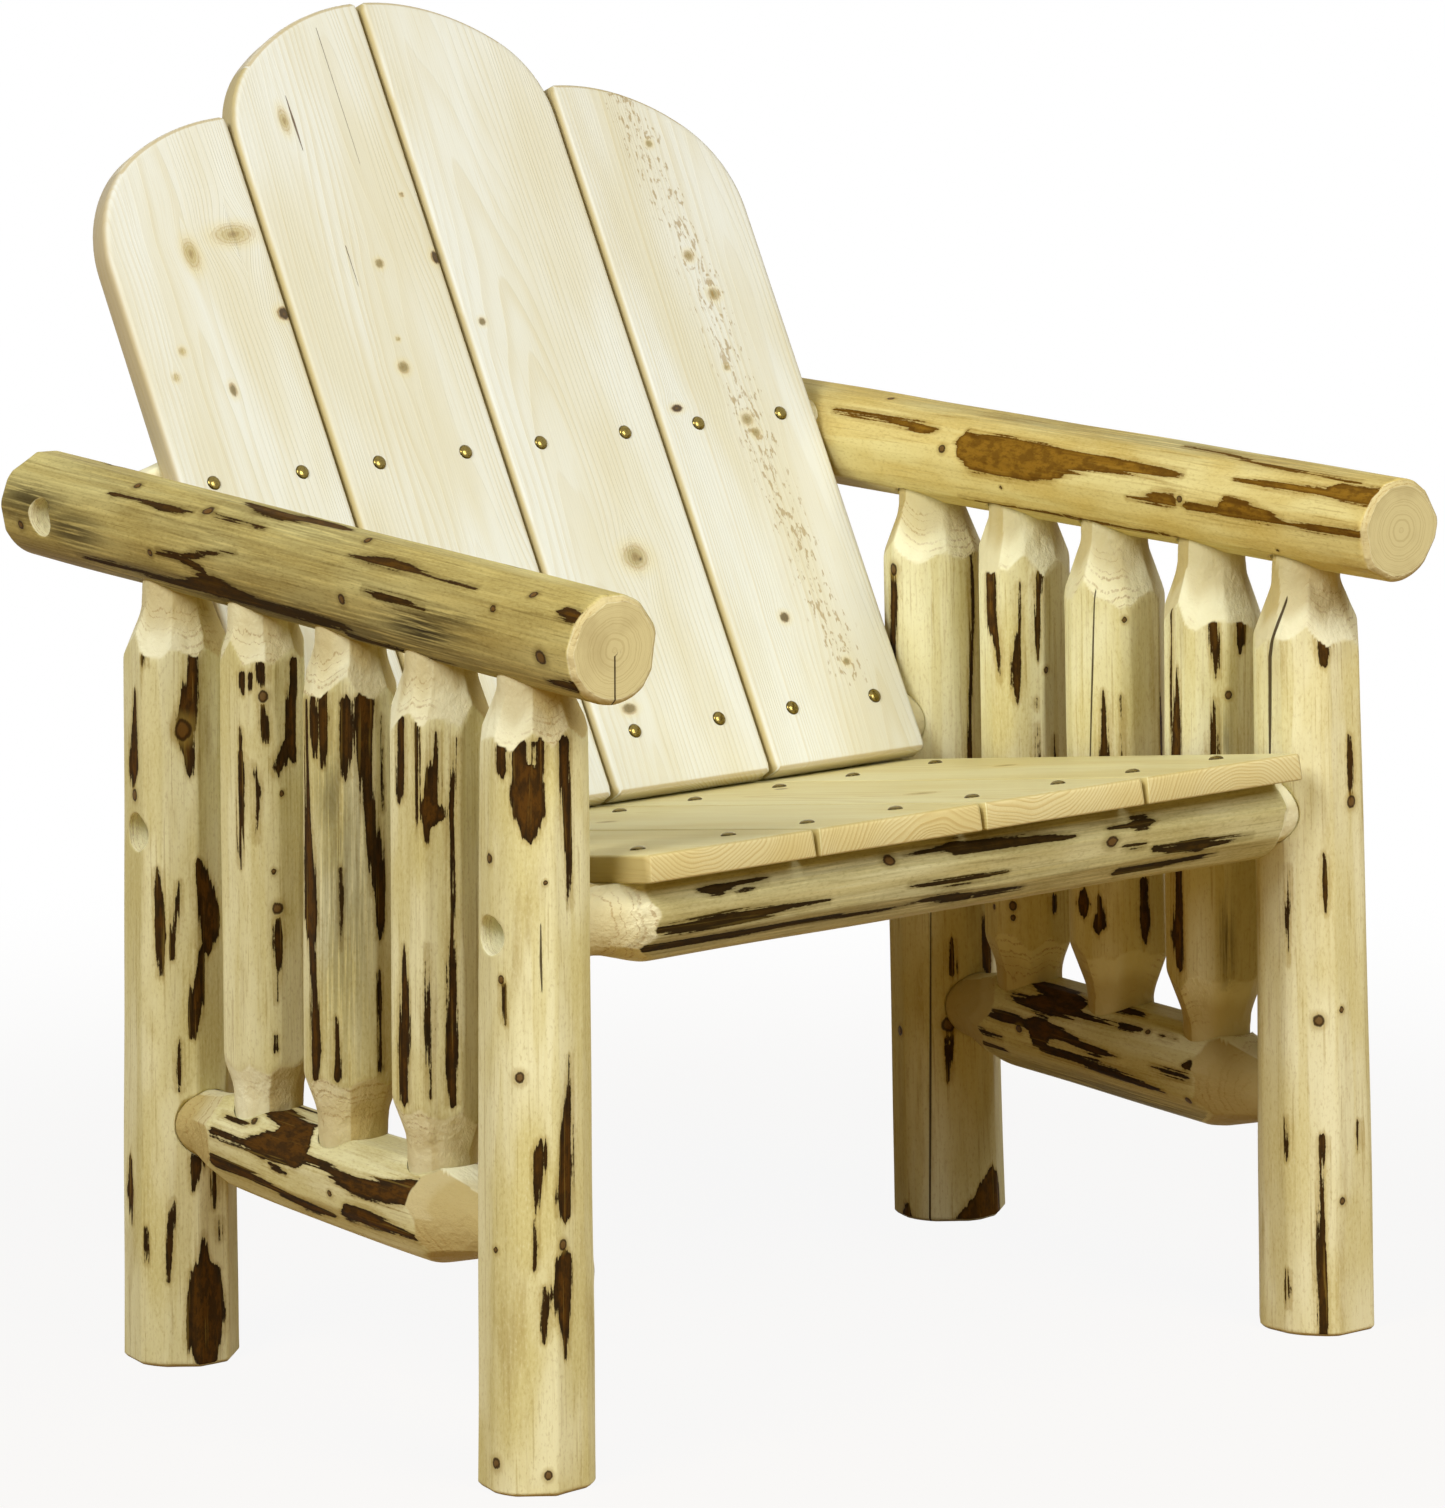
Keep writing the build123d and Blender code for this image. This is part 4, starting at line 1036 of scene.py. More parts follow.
# Cross rails: three peeled logs bolted between the side frames, one under the seat's front, one above
# its rear ends and one behind the back. Each has long end facets and a planed flat for the boards.
SEAT_SLOPE, BACK_LEAN = 9.479, 30
SEAT_FLAT, UNDER_FLAT, BACK_FLAT = 22, 28.5, 16
FLAT_ENDS = (12, 596)
RAIL_HALF, UPPER_RAIL_HALF = 303.8, 305
CROSS_SEED, CROSS_TENON, CROSS_LIT_TURN, CROSS_DIAMETERS = 91, 23, 80, (68, 68)
# The front rail's copy of the wood is darker and greyer: partly weathering, partly painted shade under the
# seat's overhang.
FRONT_RAIL_SHADED_COLOURS = (221, 216, 168), (198, 188, 130), (128, 112, 54), (28, 15, 1), (80, 56, 14)
back_flat = (90 - BACK_LEAN, BACK_FLAT, *FLAT_ENDS)
cross_rails = {
    "front_seat_rail": dict(
        wood=peeled_wood("peeled_front_rail_shaded", *FRONT_RAIL_SHADED_COLOURS),
        start=(-RAIL_HALF, FRONT_Y, CROSS_RAIL_HEIGHT),
        diameters=(67, 64),
        bow=(0, 0, 1),
        slope=(15, 42),
        hidden=((160, 340),),
        flats=[(-SEAT_SLOPE, SEAT_FLAT, *FLAT_ENDS)],
        # The stain at turn 56 is painted shadow of the seat on the rail's upper front; the one at turn 128
        # is painted shade on its underside.
        stains=[(56, 300, 15, 330, 0.35), (128, 250, 18, 300, 0.4)],
        bark=[
            [(64, 77, 0.6), (66, 88, 4), (66, 95, 4), (63, 110, 2.4), (61, 130, 2.2), (61, 138, 0.4)],
            [(72, 108, 1), (72, 116, 1.4), (71, 124, 0.6)],
            [(103, 36, 2.6), (104, 60, 4), (102, 90, 4.4), (101, 125, 4), (99, 150, 2), (100, 187, 0.4)],
            [(130, 36, 4), (131, 70, 5), (128, 120, 3.4), (127, 180, 2), (130, 240, 1.6), (128, 267, 1)],
            [(61, 254, 0.4), (60, 275, 1.4), (59, 290, 2.4), (60, 296, 5.6), (60, 305, 5.6), (62, 308, 4),
             (65, 340, 4.4), (67, 370, 4), (70, 390, 3), (71, 402, 0.8)],
            [(99, 254, 0.3), (103, 282, 2.4), (104, 295, 2.4), (103, 320, 1.4), (102, 342, 0.3)],
            [(125, 269, 1.6), (127, 280, 4.4), (129, 300, 5), (131, 314, 4)],
            [(131, 319, 3), (131, 340, 2.6), (132, 362, 0.5)],
            [(67, 432, 0.5), (68, 450, 2), (67, 456, 5), (67, 466, 5), (64, 470, 2.4), (64, 475, 0.4)],
            [(104, 471, 1.5), (107, 490, 2.6), (108, 505, 4), (109, 515, 5.4), (108, 525, 3),
             (106, 545, 1.6), (106, 563, 0.3)],
            [(134, 445, 4), (132, 470, 3), (130, 500, 2), (129, 520, 3), (129, 535, 0.3)],
            [(95, 444, 0.5), (96, 455, 2), (95, 465, 0.4)],
        ],
        knots=[(64, 240, 4), (85, 433, 4)],
    ),
    "rear_seat_rail": dict(
        start=(-RAIL_HALF, REAR_Y, CROSS_RAIL_HEIGHT),
        flats=[back_flat, (180 - SEAT_SLOPE, UNDER_FLAT, *FLAT_ENDS)],
    ),
    "upper_back_rail": dict(
        start=(-UPPER_RAIL_HALF, ARM_START + UPPER_RAIL_PLACE, ARM_HEIGHT),
        shift=((0, 0, 0), (0, -2.5, -4.3)),
        flats=[back_flat],
    ),
}
for seed, (node, marks) in enumerate(cross_rails.items(), CROSS_SEED):
    (x, y, z), wood = marks.pop("start"), marks.pop("wood", near_wood)
    near_end, far_end = (lean(side, y, z) for side in OUTWARD)
    log = Log(
        (x, y, z) + near_end,
        "x",
        -2 * x + far_end[0] - near_end[0],
        marks.pop("diameters", CROSS_DIAMETERS),
        seed,
        tenons=(CROSS_TENON, CROSS_TENON),
        neck=3,
        slope=marks.pop("slope", (15, 15)),
        lit_turn=CROSS_LIT_TURN,
        **marks,
    )
    make_piece(f"{node}_log", node, "peeled_log", *log.build(), wood)

# Seat boards: four planed pine boards laid side by side from the front overhang to under the rear rail.
# Their edges are rounded over, and the front ends show the growth rings cut across.
BOARD_WIDTH, BOARD_PITCH, BOARD_THICKNESS = 140, 143, 19
BOARD_STEP = 2.6
EDGE_COLUMNS = 1 - np.array([0.06, 0.25, 0.6, 1.1, 1.7]) / 70
FRONT_BENDS, REAR_BENDS = (22.5, 45, 67.5, 90), (90, 45)
OPEN_EDGE, JOINT_EDGE, END_GRAIN = 1, -1, 2


def sloping(degrees):
    """Sine and cosine of an angle in degrees."""
    return np.sin(np.radians(degrees)), np.cos(np.radians(degrees))


class Face:
    """A sloping plane that boards lie on: its origin, the boards' direction, and out of their face."""

    def __init__(self, origin, along):
        self.origin = np.array(origin, float)
        self.axes = np.array([(1, 0, 0), along, np.cross((1, 0, 0), along)], float)

    def place(self, across, along, depth):
        """Points at so much across the boards, along them and out of their face."""
        return self.origin + np.column_stack([across, along, depth]) @ self.axes


class Board:
    """One planed board with rounded edges, in millimetres across, along and out of its face.

    The face is a grid inside the rounding; its outline is carried out and down round a quarter
    circle, along the side, and round a smaller quarter circle on to the same grid at the rear.
    """

    def __init__(
        self, face, centre, low, high, seed, joints, pith, front_ease, arch=None, width=BOARD_WIDTH,
        rear_ease=1.5, knots=(), checks=(), specks=(),
    ):
        self.face, self.low, self.high, self.arch, self.width = face, low, high, arch, width
        self.centre = centre - np.sign(centre) * (BOARD_WIDTH - width) / 2
        self.joints, self.pith, self.front_ease, self.rear_ease = joints, pith, front_ease, rear_ease
        self.knots, self.checks, self.specks = knots, checks, specks
        # The third draw is the board's own place along the grain.
        self.offset = np.random.default_rng(seed).uniform(0, 9000, 3)[2]

    def top(self, across, inset):
        """Far end of the board: level, or a side arc that runs on into a flatter crown arc."""
        if self.arch is None:
            return np.full(np.shape(across), self.high - inset)
        crown, outward, rise, side_radius = self.arch
        reach = self.width + (BOARD_PITCH - BOARD_WIDTH) / 2 - side_radius
        crown_radius = (reach**2 + rise**2 - side_radius**2) / (2 * (rise - side_radius))
        away = outward * (across - crown)
        meet = reach / (crown_radius - side_radius) * (crown_radius - inset)
        crown_arc = np.sqrt(np.maximum((crown_radius - inset) ** 2 - away**2, 0)) - crown_radius
        side_arc = np.sqrt(np.maximum((side_radius - inset) ** 2 - (away - reach) ** 2, 0)) - rise
        return self.high + np.where(away < meet, crown_arc, side_arc)

    def grid(self, inset):
        """Across and along for the face: even columns with a few more at both edges, rows to the top."""
        even = np.linspace(-1, 1, int(self.width / BOARD_STEP))
        columns = np.unique(np.concatenate([even, EDGE_COLUMNS, -EDGE_COLUMNS]))
        columns = self.centre + (self.width / 2 - inset) * columns
        rows = np.linspace(0, 1, int((self.high - self.low) / BOARD_STEP))
        low, high = self.low + inset, self.top(columns, inset)
        across = np.broadcast_to(columns, (len(rows), len(columns)))
        return np.stack([across, low + rows[:, None] * (high - low)], -1)

    def build(self):
        """Points, quads and fields: the face's grid, rings round the edges, and the rear's grid.

        A ring at an angle stands e sin(angle) out from the outline and e (1 - cos(angle)) down.
        """
        front, rear = self.grid(self.front_ease), self.grid(self.rear_ease)
        number = np.arange(front.size // 2).reshape(front.shape[:2])
        loop = np.concatenate([number[0, :-1], number[:-1, -1], number[-1, :0:-1], number[:0:-1, 0]])
        front, rear = front.reshape(-1, 2), rear.reshape(-1, 2)
        edge = np.roll(front[loop], -1, 0) - front[loop]
        edge = np.column_stack([edge[:, 1], -edge[:, 0]]) / np.linalg.norm(edge, axis=1)[:, None]
        out = edge + np.roll(edge, 1, 0)
        out = out / np.linalg.norm(out, axis=1)[:, None]
        kind = np.where(np.abs(out[:, 1]) > 0.75, END_GRAIN, np.where(out[:, 0] < 0, *self.joints))
        shell = Shell()

        def add(flat, depth, side):
            """Takes in points at one depth, and gives their numbers."""
            depth, side = np.full(len(flat), depth), np.broadcast_to(side, len(flat))
            return shell.add(np.column_stack([flat, depth, side]))

        last = add(front, 0, 0)[loop]
        for degrees in FRONT_BENDS:
            sine, cosine = sloping(degrees)
            depth = self.front_ease * (cosine - 1)
            ring = add(front[loop] + out * self.front_ease * sine, depth, kind * sine)
            shell.bridge(ring, last)
            last = ring
        for degrees in REAR_BENDS:
            sine, cosine = sloping(degrees)
            depth = self.rear_ease * (1 - cosine) - BOARD_THICKNESS
            ring = add(rear[loop] + out * self.rear_ease * sine, depth, kind * sine)
            shell.bridge(ring, last)
            last = ring
        behind = add(rear, -BOARD_THICKNESS, 0)
        shell.bridge(behind[loop], last)
        corners = [number[:-1, :-1], number[:-1, 1:], number[1:, 1:], number[1:, :-1]]
        shell.quads.append(np.stack(corners, -1).reshape(-1, 4))
        shell.quads.append(np.stack(corners[::-1], -1).reshape(-1, 4) + behind[0])
        across, along, depth, side = np.concatenate(shell.rows).T
        points = self.face.place(across, along, depth) * MM
        fields = self.fields(across, along, depth, side)
        return points, np.concatenate(shell.quads), np.zeros((0, 3), int), fields

    def fields(self, across, along, depth, side):
        """Place in the wood, with the grain pushed aside round knots, and the knots, specks and checks.

        A knot's field is the distance in its own half widths, at most 4, and its darkness.
        """
        bent = across - self.centre
        near = np.full(len(across), NO_KNOT)
        dark, speck = np.zeros((2, len(across)))
        for x, y, wide, long, tone in self.knots:
            right, up = across - x, along - y
            push = np.exp(-((up / (3.2 * long)) ** 2) - np.abs(right) / (2.6 * wide))
            bent = bent - np.sign(right) * wide * push * 0.8
            away = np.hypot(right / wide, up / long)
            dark = np.where(away < near, tone, dark)
            near = np.minimum(near, away)
        if self.specks:
            middle, half, beyond = followed(self.specks, along)
            speck = np.exp(-(((across - middle) / half) ** 2)) * (beyond == 0)
        signed, width = nearest_check(
            self.checks, along, lambda middle: across - middle, reach=4, fade=0.4, limit=6
        )
        grain = np.column_stack([bent + self.pith[0], along + self.offset, depth + self.pith[1]])
        return {
            "grain": grain * MM,
            "marks": np.column_stack([near, dark, speck]),
            "worked": np.column_stack([signed, width, side]),
        }


EDGE_SHADE_TAN, JOINT_SHADE_TAN, BOARD_END = (180, 156, 92), (188, 168, 98), (214, 190, 132)
PALE_KNOT, DARK_KNOT, KNOT_HALO = (204, 184, 112), (58, 38, 12), (216, 200, 130)
KNOT_WHORL, KNOT_CORE, KNOT_BARK = (158, 128, 58), (122, 92, 40), (150, 112, 52)
RESIN, BOARD_CHECK = (152, 124, 64), (84, 54, 20)


def planed_pine(name, pale, warm, line):
    """Planed pine: growth rings round a pith outside the board, fibres, knots, resin specks, checks, and
    painted shade on edges and joints.
    """
    material, shade, shader = new_material(name)
    grain = shade.attribute("grain")
    knot, dark, speck = shade.attribute("marks").parts()
    crack, crack_width, side = shade.attribute("worked").parts()
    across, along, depth = grain.parts()
    drift = grain.stretched(1, 0.12, 1).noise(14, 2)
    fibre = grain.stretched(1, 0.02, 1).noise(700, 4, 0.6)
    cloud = grain.stretched(1, 0.2, 1).noise(20, 2)
    fleck = grain.stretched(1, 0.25, 1).noise(420, 2, 0.6)
    resin = grain.stretched(1, 0.35, 1).noise(340, 2, 0.6)
    pith = (across * across + depth * depth) ** 0.5 * 1000 + drift * 26 + along * 18
    pace = pith.wander(0.07)
    year = pith * 0.4 + pace * 2.6
    late = year.math("FRACT", year).band(0.35, 0.9, 0.92, 1.0)
    ends, edges, joint_shade = side.step(1.3, 1.8), side.step(0.35, 0.9), (0 - side).step(0.3, 0.85)
    heart = 1 - (knot + (fleck - 0.5) * 0.7).step(0.25 + dark * 0.5, 1.3 - dark * 0.15)
    whorl = knot * 3.2 + fleck * 1.6
    whorl = whorl.math("FRACT", whorl).step(0.45, 0.95) * (1 - knot.step(1.0, 1.7)) * (1 - dark)
    core = 1 - (knot + (fleck - 0.5) * 0.5).step(0.05, 0.5)
    rim = knot.band(0.7, 0.95, 1.0, 1.35) * dark
    spot = (resin + speck * 0.16).step(0.69, 0.78) * speck.step(0.2, 0.6)
    split = 1 - (crack.math("ABSOLUTE", crack) - crack_width).step(-0.25, 0.3)
    colour = layered(
        paint(*pale),
        (cloud.step(0.35, 0.7), warm),
        (late * (0.11 + pace.step(0.4, 0.65) * 0.2 + ends * 0.45), line),
        (fibre.step(0.52, 0.8) * 0.35, line),
        # Tan on the rounded outer edges and in the joints between boards is painted shade.
        (edges * (1 - ends) * 0.6, EDGE_SHADE_TAN),
        (joint_shade * 0.75, JOINT_SHADE_TAN),
        (ends * 0.35, BOARD_END),
        ((1 - knot.step(0.7, 2.4)) * 0.35, KNOT_HALO),
        (heart * (0.4 + dark * 0.55), dark.mix(paint(*PALE_KNOT), paint(*DARK_KNOT))),
        (whorl * 0.5, KNOT_WHORL),
        (core * 0.6, KNOT_CORE),
        (rim * (fleck.step(0.4, 0.6) * 0.5 + 0.1), KNOT_BARK),
        (spot * 0.6, RESIN),
        (split * 0.85, BOARD_CHECK),
    )
    rough = 0.42 + fibre * 0.12 + late * 0.06
    height = fibre * 0.5 + late * 0.3 - heart * 0.6 - split * 1.6
    surface(shade, shader, colour, rough, height, 0.0003)
    shader.inputs["Specular IOR Level"].default_value = 0.2
    return material


SEAT_ENDS, SEAT_EASE, SEAT_SEED = (-54, 446.2), 3, 111
seat_sine, seat_cosine = sloping(SEAT_SLOPE)
seat_level = SEAT_FLAT + BOARD_THICKNESS
seat_face = Face(
    (0, FRONT_Y + seat_level * seat_sine, CROSS_RAIL_HEIGHT + seat_level * seat_cosine),
    (0, seat_cosine, -seat_sine),
)
# The seat's copy of the pine is yellower and darker than the back's: painted shade on the seat.
seat_shaded_pine = planed_pine("seat_board", (221, 215, 165), (213, 202, 143), (182, 157, 90))
board_centres = [BOARD_PITCH * place for place in (-1.5, -0.5, 0.5, 1.5)]
board_joints = [(OPEN_EDGE, JOINT_EDGE), *[(JOINT_EDGE, JOINT_EDGE)] * 2, (JOINT_EDGE, OPEN_EDGE)]
# Knots are (across, along, half width, half length, darkness); the pith lies (across, below) the face.
seat_marks = [
    dict(pith=(20, -36), knots=[(-230, 160, 8, 10, 0.4)]),
    dict(pith=(-30, 60), knots=[(-96, 250, 6, 9, 0.5)]),
    dict(pith=(35, -70), knots=[(60, 90, 9, 12, 0.4), (96, 300, 4, 6, 0.9)]),
    dict(pith=(-12, 48), knots=[(230, 210, 7, 9, 0.5)]),
]
for number, (centre, marks) in enumerate(zip(board_centres, seat_marks)):
    at = seat_face, centre, *SEAT_ENDS
    board = Board(*at, SEAT_SEED + number, board_joints[number], front_ease=SEAT_EASE, **marks)
    names = f"seat_plank_{number + 1}", f"seat_board_{number + 1}", "seat_board"
    make_piece(*names, *board.build(), seat_shaded_pine)

# Back boards: four planed pine boards that lean on the rear and upper rails. The middle pair shares
# one arch and each outer board has half of a lower one, all with well-rounded edges.
BACK_START, BACK_SHIFT, BACK_EASE, BACK_SEED = -35.35, 2, 4.5, 131
PAIR_TOP, OUTER_TOP = 625.5, 547
PAIR_ARCH, OUTER_ARCH, NARROW_ARCH = (103, 82), (113, 95), (108, 98)
back_sine, back_cosine = sloping(BACK_LEAN)
back_level = BACK_FLAT + BOARD_THICKNESS
back_face = Face(
    (BACK_SHIFT, REAR_Y - back_level * back_cosine, CROSS_RAIL_HEIGHT + back_level * back_sine),
    (0, back_sine, back_cosine),
)
# The back's copy of the pine is paler and whiter than the seat's: painted light on the back boards.
back_lit_pine = planed_pine("back_board", (223, 225, 215), (215, 212, 189), (199, 186, 138))
# Checks and resin specks are rows of (across, along, half width).
back_marks = [
    dict(
        pith=(10, 50),
        top=OUTER_TOP,
        arch=NARROW_ARCH,
        width=136.5,
        knots=[(-171, 420, 15, 7, 0.35), (-211, 408, 6, 10, 0.4), (-285, 398, 2, 2.2, 1),
               (-149, 356, 6, 5, 1), (-212, 303, 3, 5, 0.8), (-244, 336, 3, 3, 0.4),
               (-256, 317, 3, 3, 0.4)],
    ),
    dict(
        pith=(-25, 70),
        top=PAIR_TOP,
        arch=PAIR_ARCH,
        knots=[(-5, 386, 4, 5, 1), (-55, 386, 3.5, 3.5, 0.7), (-63, 305, 4.5, 4.5, 0.7),
               (-60, 327, 2, 2, 0.6), (-17, 437, 2, 2, 0.8), (-97, 503, 4, 9, 0.4)],
        checks=[
            [(-89, 478, 0.2), (-89, 500, 0.9), (-89, 522, 0.2)],
            [(-44, 463, 0.05), (-44, 572, 0.2)],
            [(-79, 370, 0.1), (-79, 402, 0.3)],
        ],
    ),
    dict(
        pith=(30, 60),
        top=PAIR_TOP,
        arch=PAIR_ARCH,
        knots=[(17, 333, 3, 3, 0.8), (83, 140, 10, 9, 0.5), (86, 139, 3, 3, 1), (35, 27, 6, 4, 0.8)],
    ),
    dict(
        pith=(-40, 55),
        top=OUTER_TOP,
        arch=OUTER_ARCH,
        knots=[(217, 366, 4, 4, 0.6), (228, 334, 4.5, 4.5, 0.6), (218, 276, 2.5, 2.5, 0.6),
               (221, 234, 4.5, 4.5, 0.6), (225, 223, 3.5, 3.5, 0.6), (215, 457, 3, 3, 0.6),
               (162, 249, 5, 3, 1), (196, 79, 4, 4, 0.9), (238, 39, 3, 3, 0.7)],
        specks=[(240, 20, 20), (230, 120, 20), (225, 250, 20), (220, 380, 20), (203, 500, 20)],
    ),
]
for number, (centre, marks) in enumerate(zip(board_centres, back_marks)):
    outward = np.sign(centre)
    crown = 0 if abs(centre) < BOARD_PITCH else outward * BOARD_PITCH
    arch = (crown, outward, *marks.pop("arch"))
    at = back_face, centre, BACK_START, BACK_START + marks.pop("top")
    board = Board(*at, BACK_SEED + number, board_joints[number], front_ease=BACK_EASE, arch=arch, **marks)
    names = f"back_plank_{number + 1}", f"back_board_{number + 1}", "back_board"
    make_piece(*names, *board.build(), back_lit_pine)

# Seat cleat: a sawn batten screwed across the undersides of the seat boards, out of sight from above.
# It keeps the saw's cross marks, and takes the second row of the seat's screws.
cleat_wood, shade, shader = new_material("sawn_batten")
place = shade.node("ShaderNodeTexCoord", {}, 3)
fibre = place.stretched(0.03, 1, 1).noise(500, 4, 0.6)
kerf = place.stretched(1, 0.1, 0.1).noise(340, 2)
cloud = place.stretched(0.2, 1, 1).noise(18, 2)
colour = layered(
    paint(226, 206, 156),
    (cloud.step(0.35, 0.7), (208, 182, 126)),
    (fibre.step(0.5, 0.8) * 0.5, (176, 142, 84)),
    (kerf.step(0.55, 0.7) * 0.2, (188, 158, 104)),
)
surface(shade, shader, colour, 0.62 + fibre * 0.16, fibre + kerf, 0.0004)


def repaint(node, material):
    """Gives a CAD node that stays in view its material."""
    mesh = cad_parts[node].data
    mesh.materials.clear()
    mesh.materials.append(material)


repaint("seat_cleat", cleat_wood)

# Screws: domed bronze-coloured heads in two rows across the seat and two across the back, and a row
# driven up through the seat boards' rear ends. The shanks grip the logs behind the boards.
SCREW_DOME = [(0.01, 2.3), (1.3, 2.24), (2.6, 2.05), (3.8, 1.65), (4.7, 1.1), (5.2, 0.5)]
SCREW_SHANK = [(5.4, 0.1), (5.3, -0.2), (2.25, -0.3), (2.25, -40), (0.01, -45)]
SCREW_PROFILE = np.array(SCREW_DOME + SCREW_SHANK)
SCREW_COLUMNS = 32
SCREW_OFFSET = 38
FRONT_ROW, CLEAT_ROW, REAR_ROW = 0, 320.2, 416.2
LOWER_BACK_ROW, UPPER_BACK_ROW = 10, 235.56


def turned_screws(face, places, depth, outward):
    """Screws turned from one profile: radius and height round a circle, repeated at each place."""
    angle = np.arange(SCREW_COLUMNS) * 2 * np.pi / SCREW_COLUMNS
    radius, height = (values[:, None] for values in SCREW_PROFILE.T)
    x, y = radius * np.cos(angle), radius * np.sin(angle) * outward
    across, along = (np.add.outer(centres, reach) for centres, reach in zip(np.transpose(places), (x, y)))
    out = np.broadcast_to(depth + outward * height, across.shape)
    points = face.place(across.ravel(), along.ravel(), out.ravel()) * MM
    number = np.arange(across.size).reshape(across.shape)
    upper, lower = number[:, :-1], number[:, 1:]
    quads = np.stack([lower, np.roll(lower, -1, 2), np.roll(upper, -1, 2), upper], -1).reshape(-1, 4)
    rim = np.broadcast_to(radius / SCREW_PROFILE.max(), across.shape)
    caps = np.concatenate([number[:, 0], number[:, -1][:, ::-1]])
    fans = np.stack([caps[:, :-2], caps[:, 1:-1], np.broadcast_to(caps[:, -1:], caps[:, :-2].shape)], -1)
    return points, quads, fans.reshape(-1, 3), {"worn": rim.ravel()}


screw_bronze, shade, shader = new_material("screw")
rim = shade.node("ShaderNodeAttribute", {}, 2, attribute_name="worn")
scuff = shade.node("ShaderNodeTexCoord", {}, 3).noise(900, 3, 0.6)
# The dark ring at each dome's rim is painted shade where the head meets the wood.
colour = layered(
    paint(140, 122, 62),
    (scuff.step(0.35, 0.75), (104, 88, 42)),
    (rim.step(0.8, 1.0) * 0.75, (40, 30, 10)),
)
surface(shade, shader, colour, 0.12 + scuff * 0.12, scuff, 0.00004)
shader.inputs["Metallic"].default_value = 0.85
screw_columns = [centre + side for centre in board_centres for side in (-SCREW_OFFSET, SCREW_OFFSET)]
screw_rows = {
    "seat_screws": (seat_face, (FRONT_ROW, CLEAT_ROW), 0, 1),
    "back_screws": (back_face, (LOWER_BACK_ROW, UPPER_BACK_ROW), 0, 1),
    "rear_end_screws": (seat_face, (REAR_ROW,), -BOARD_THICKNESS, -1),
}
for node, (face, rows, depth, outward) in screw_rows.items():
    places = [(across, row) for row in rows for across in screw_columns]
    make_piece(f"{node}_domed", node, "screw", *turned_screws(face, places, depth, outward), screw_bronze)

# Lag bolts and washers: zinc-plated steel at the bottom of the counterbores in the posts and arms.
# They draw the three cross rails' tenons into the side frames.
bolt_zinc, shade, shader = new_material("bolt")
spangle = shade.node("ShaderNodeTexCoord", {}, 3).noise(260, 3, 0.6)
colour = layered(paint(172, 170, 160), (spangle.step(0.35, 0.7), (128, 124, 112)))
surface(shade, shader, colour, 0.32 + spangle * 0.25, spangle, 0.0001)
shader.inputs["Metallic"].default_value = 0.9
repaint("lag_bolts", bolt_zinc)
repaint("lag_washers", bolt_zinc)

# Camera: it stands to the front left of the chair, a little above the arms, at the photograph's viewing
# angle. Its place, turn and long lens come from fitting the chair's corners, and nothing is blurred.
TARGET = np.array([0.02366, -0.02807, 0.40942])
AZIMUTH, ELEVATION, ROLL = np.radians([-37.189, 11.232, -0.1125])
DISTANCE, LENS, SENSOR = 6.6475, 224.02, 36
right = np.array([np.cos(AZIMUTH), np.sin(AZIMUTH), 0])
back = np.array([np.sin(AZIMUTH), -np.cos(AZIMUTH), 0]) * np.cos(ELEVATION) + (0, 0, np.sin(ELEVATION))
up = np.cross(back, right)
pose = np.eye(4)
pose[:3, 0] = np.cos(ROLL) * right + np.sin(ROLL) * up
pose[:3, 1] = np.cos(ROLL) * up - np.sin(ROLL) * right
pose[:3, 2] = back
pose[:3, 3] = TARGET + back * DISTANCE
camera_data = bpy.data.cameras.new("photo_camera")
camera_data.lens, camera_data.sensor_width, camera_data.sensor_fit = LENS, SENSOR, "AUTO"
camera = bpy.data.objects.new("photo_camera", camera_data)
camera.matrix_world = Matrix(pose.tolist())
bpy.context.scene.collection.objects.link(camera)
bpy.context.scene.camera = camera

# Studio: a white floor that keeps the chair's soft shadow, a white surround and two large lamps. Floor
# and surround are white to the eye and in reflections, and throw only a weak, warm light back.
FLOOR_HALF = 9
FLOOR_NEAR, FLOOR_FAR = 0.92, 1.0
SURROUND_TINT, SURROUND_LIGHT = (1.0, 0.74, 0.28, 1), 0.14
WHITE = (1, 1, 1, 1)


def directly_seen(shade):
    """1 for a ray from the camera, or one bent or mirrored on its way; 0 for one that gathers light."""
    seen = shade.node("ShaderNodeLightPath", {})
    rays = seen.socket.node.outputs
    for ray in ("Is Glossy Ray", "Is Transmission Ray"):
        seen = seen.math("MAXIMUM", seen, Shade(shade.tree, rays[ray]))
    return seen


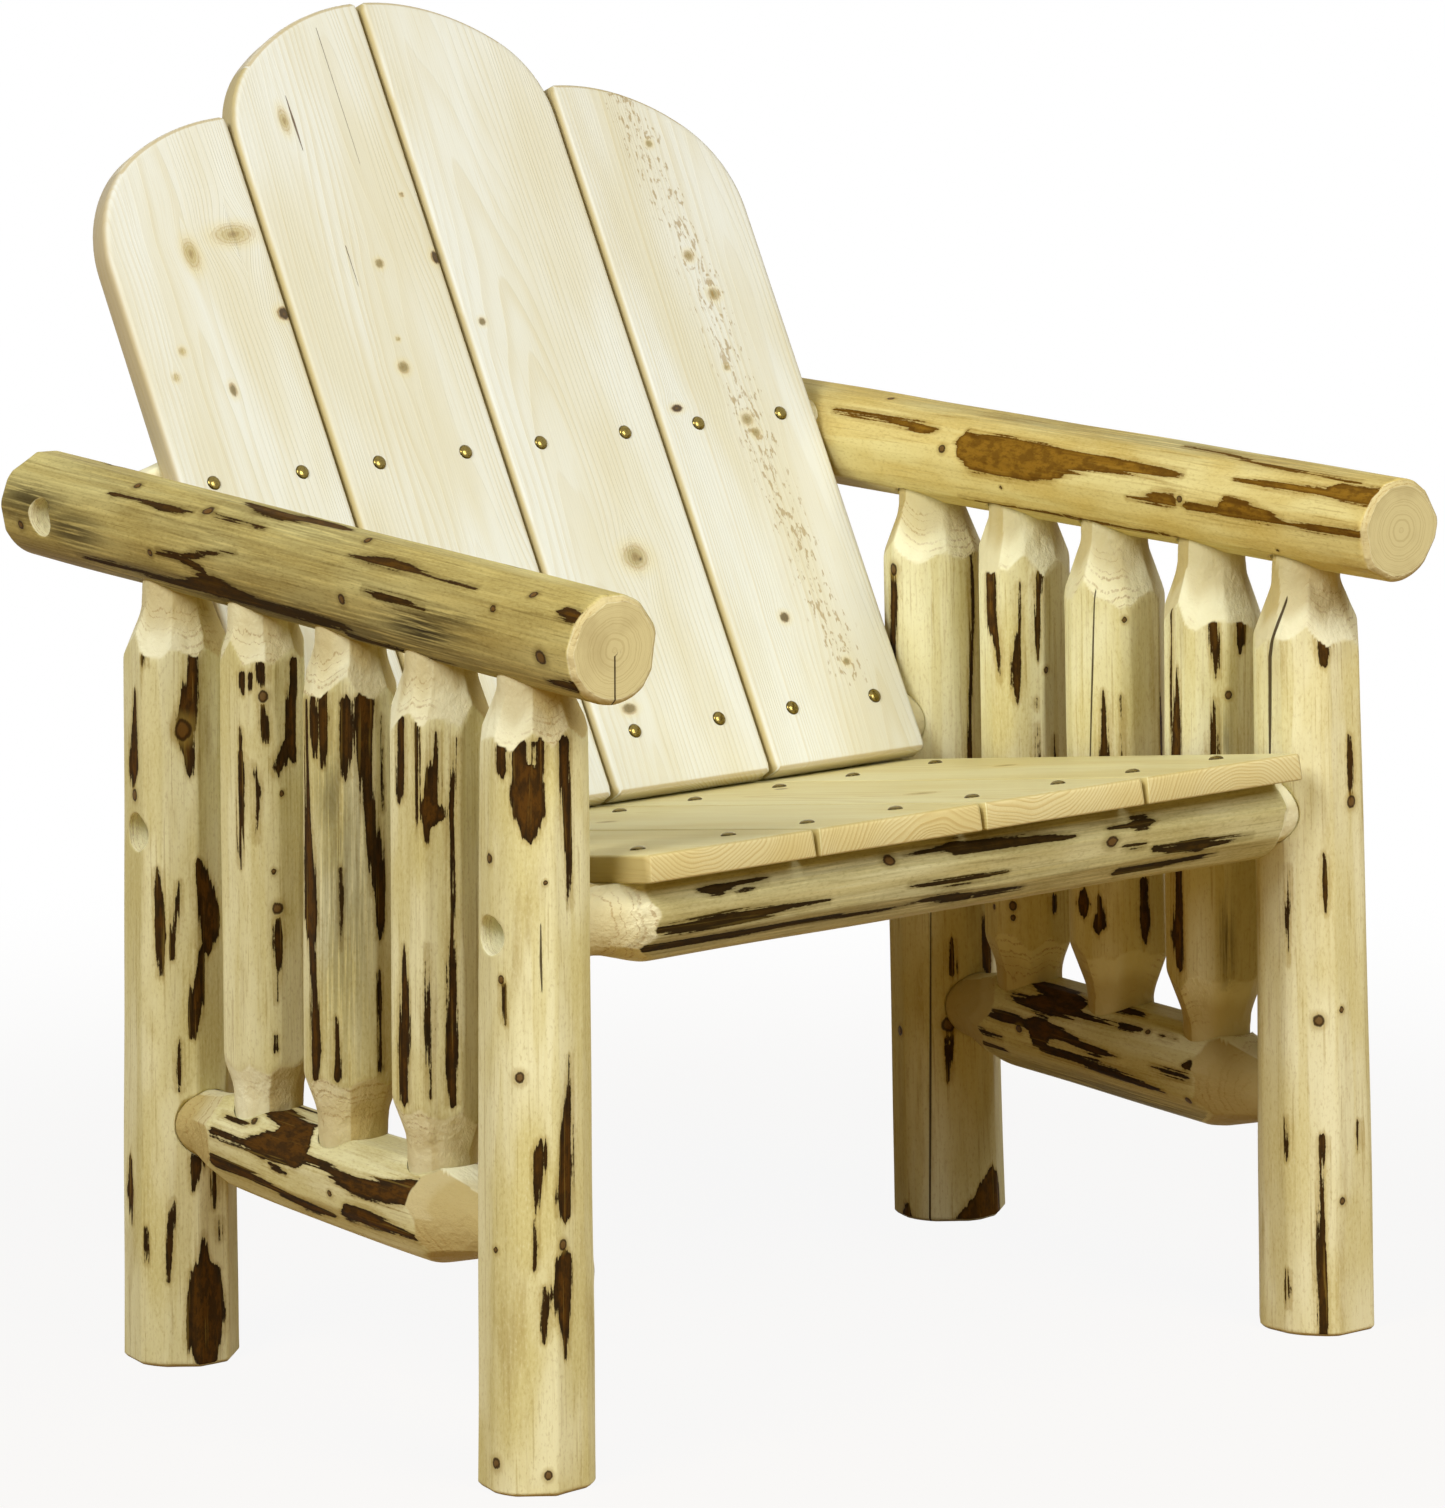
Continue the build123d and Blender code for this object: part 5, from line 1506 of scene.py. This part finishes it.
def lamp(name, place, target, size, power):
    """A large square lamp aimed at a point."""
    data = bpy.data.lights.new(name, "AREA")
    data.shape, data.size, data.energy = "SQUARE", size, power
    light = bpy.data.objects.new(name, data)
    light.location = place
    light.rotation_euler = (Vector(target) - Vector(place)).to_track_quat("-Z", "Y").to_euler()
    bpy.context.scene.collection.objects.link(light)


floor_mesh = bpy.data.meshes.new("floor")
floor_corners = [(FLOOR_HALF * x, FLOOR_HALF * y, 0) for x, y in ((-1, -1), (1, -1), (1, 1), (-1, 1))]
floor_mesh.from_pydata(floor_corners, [], [(0, 1, 2, 3)])
floor = bpy.data.objects.new("floor", floor_mesh)
bpy.context.scene.collection.objects.link(floor)
floor_paint, shade, shader = new_material("floor_paint")
shader.inputs["Base Color"].default_value = paint(160, 128, 66)
shader.inputs["Roughness"].default_value = 0.9
shader.inputs["Specular IOR Level"].default_value = 0.0
glow = shade.node("ShaderNodeEmission", {"Color": WHITE, "Strength": 1.0})
place = shade.node("ShaderNodeTexCoord", {}, 3)
away = place.node("ShaderNodeVectorMath", {0: place}, 1, operation="LENGTH")
shown = directly_seen(shade) * (FLOOR_NEAR + away.step(0.6, 1.6) * (FLOOR_FAR - FLOOR_NEAR))
both = shade.node("ShaderNodeMixShader", {0: shown, 1: Shade(shade.tree, shader.outputs[0]), 2: glow})
shade.tree.links.new(both.socket, shade.tree.nodes["Material Output"].inputs["Surface"])
floor_mesh.materials.append(floor_paint)
world = bpy.data.worlds.new("surround")
bpy.context.scene.world = world
world.use_nodes = True
sky = Shade(world.node_tree)
shown = directly_seen(sky)
background = world.node_tree.nodes["Background"].inputs
sky.tree.links.new(shown.mix(SURROUND_TINT, WHITE).socket, background["Color"])
sky.tree.links.new((shown * (1 - SURROUND_LIGHT) + SURROUND_LIGHT).socket, background["Strength"])
lamp("key_lamp", (-4.3, -1.4, 3.95), (0, 0, 0.45), 2.1, 225)
lamp("fill_lamp", (0.2, -3.65, 3.0), (0, 0, 0.42), 2.1, 135)
bpy.context.scene.view_settings.view_transform = "Standard"
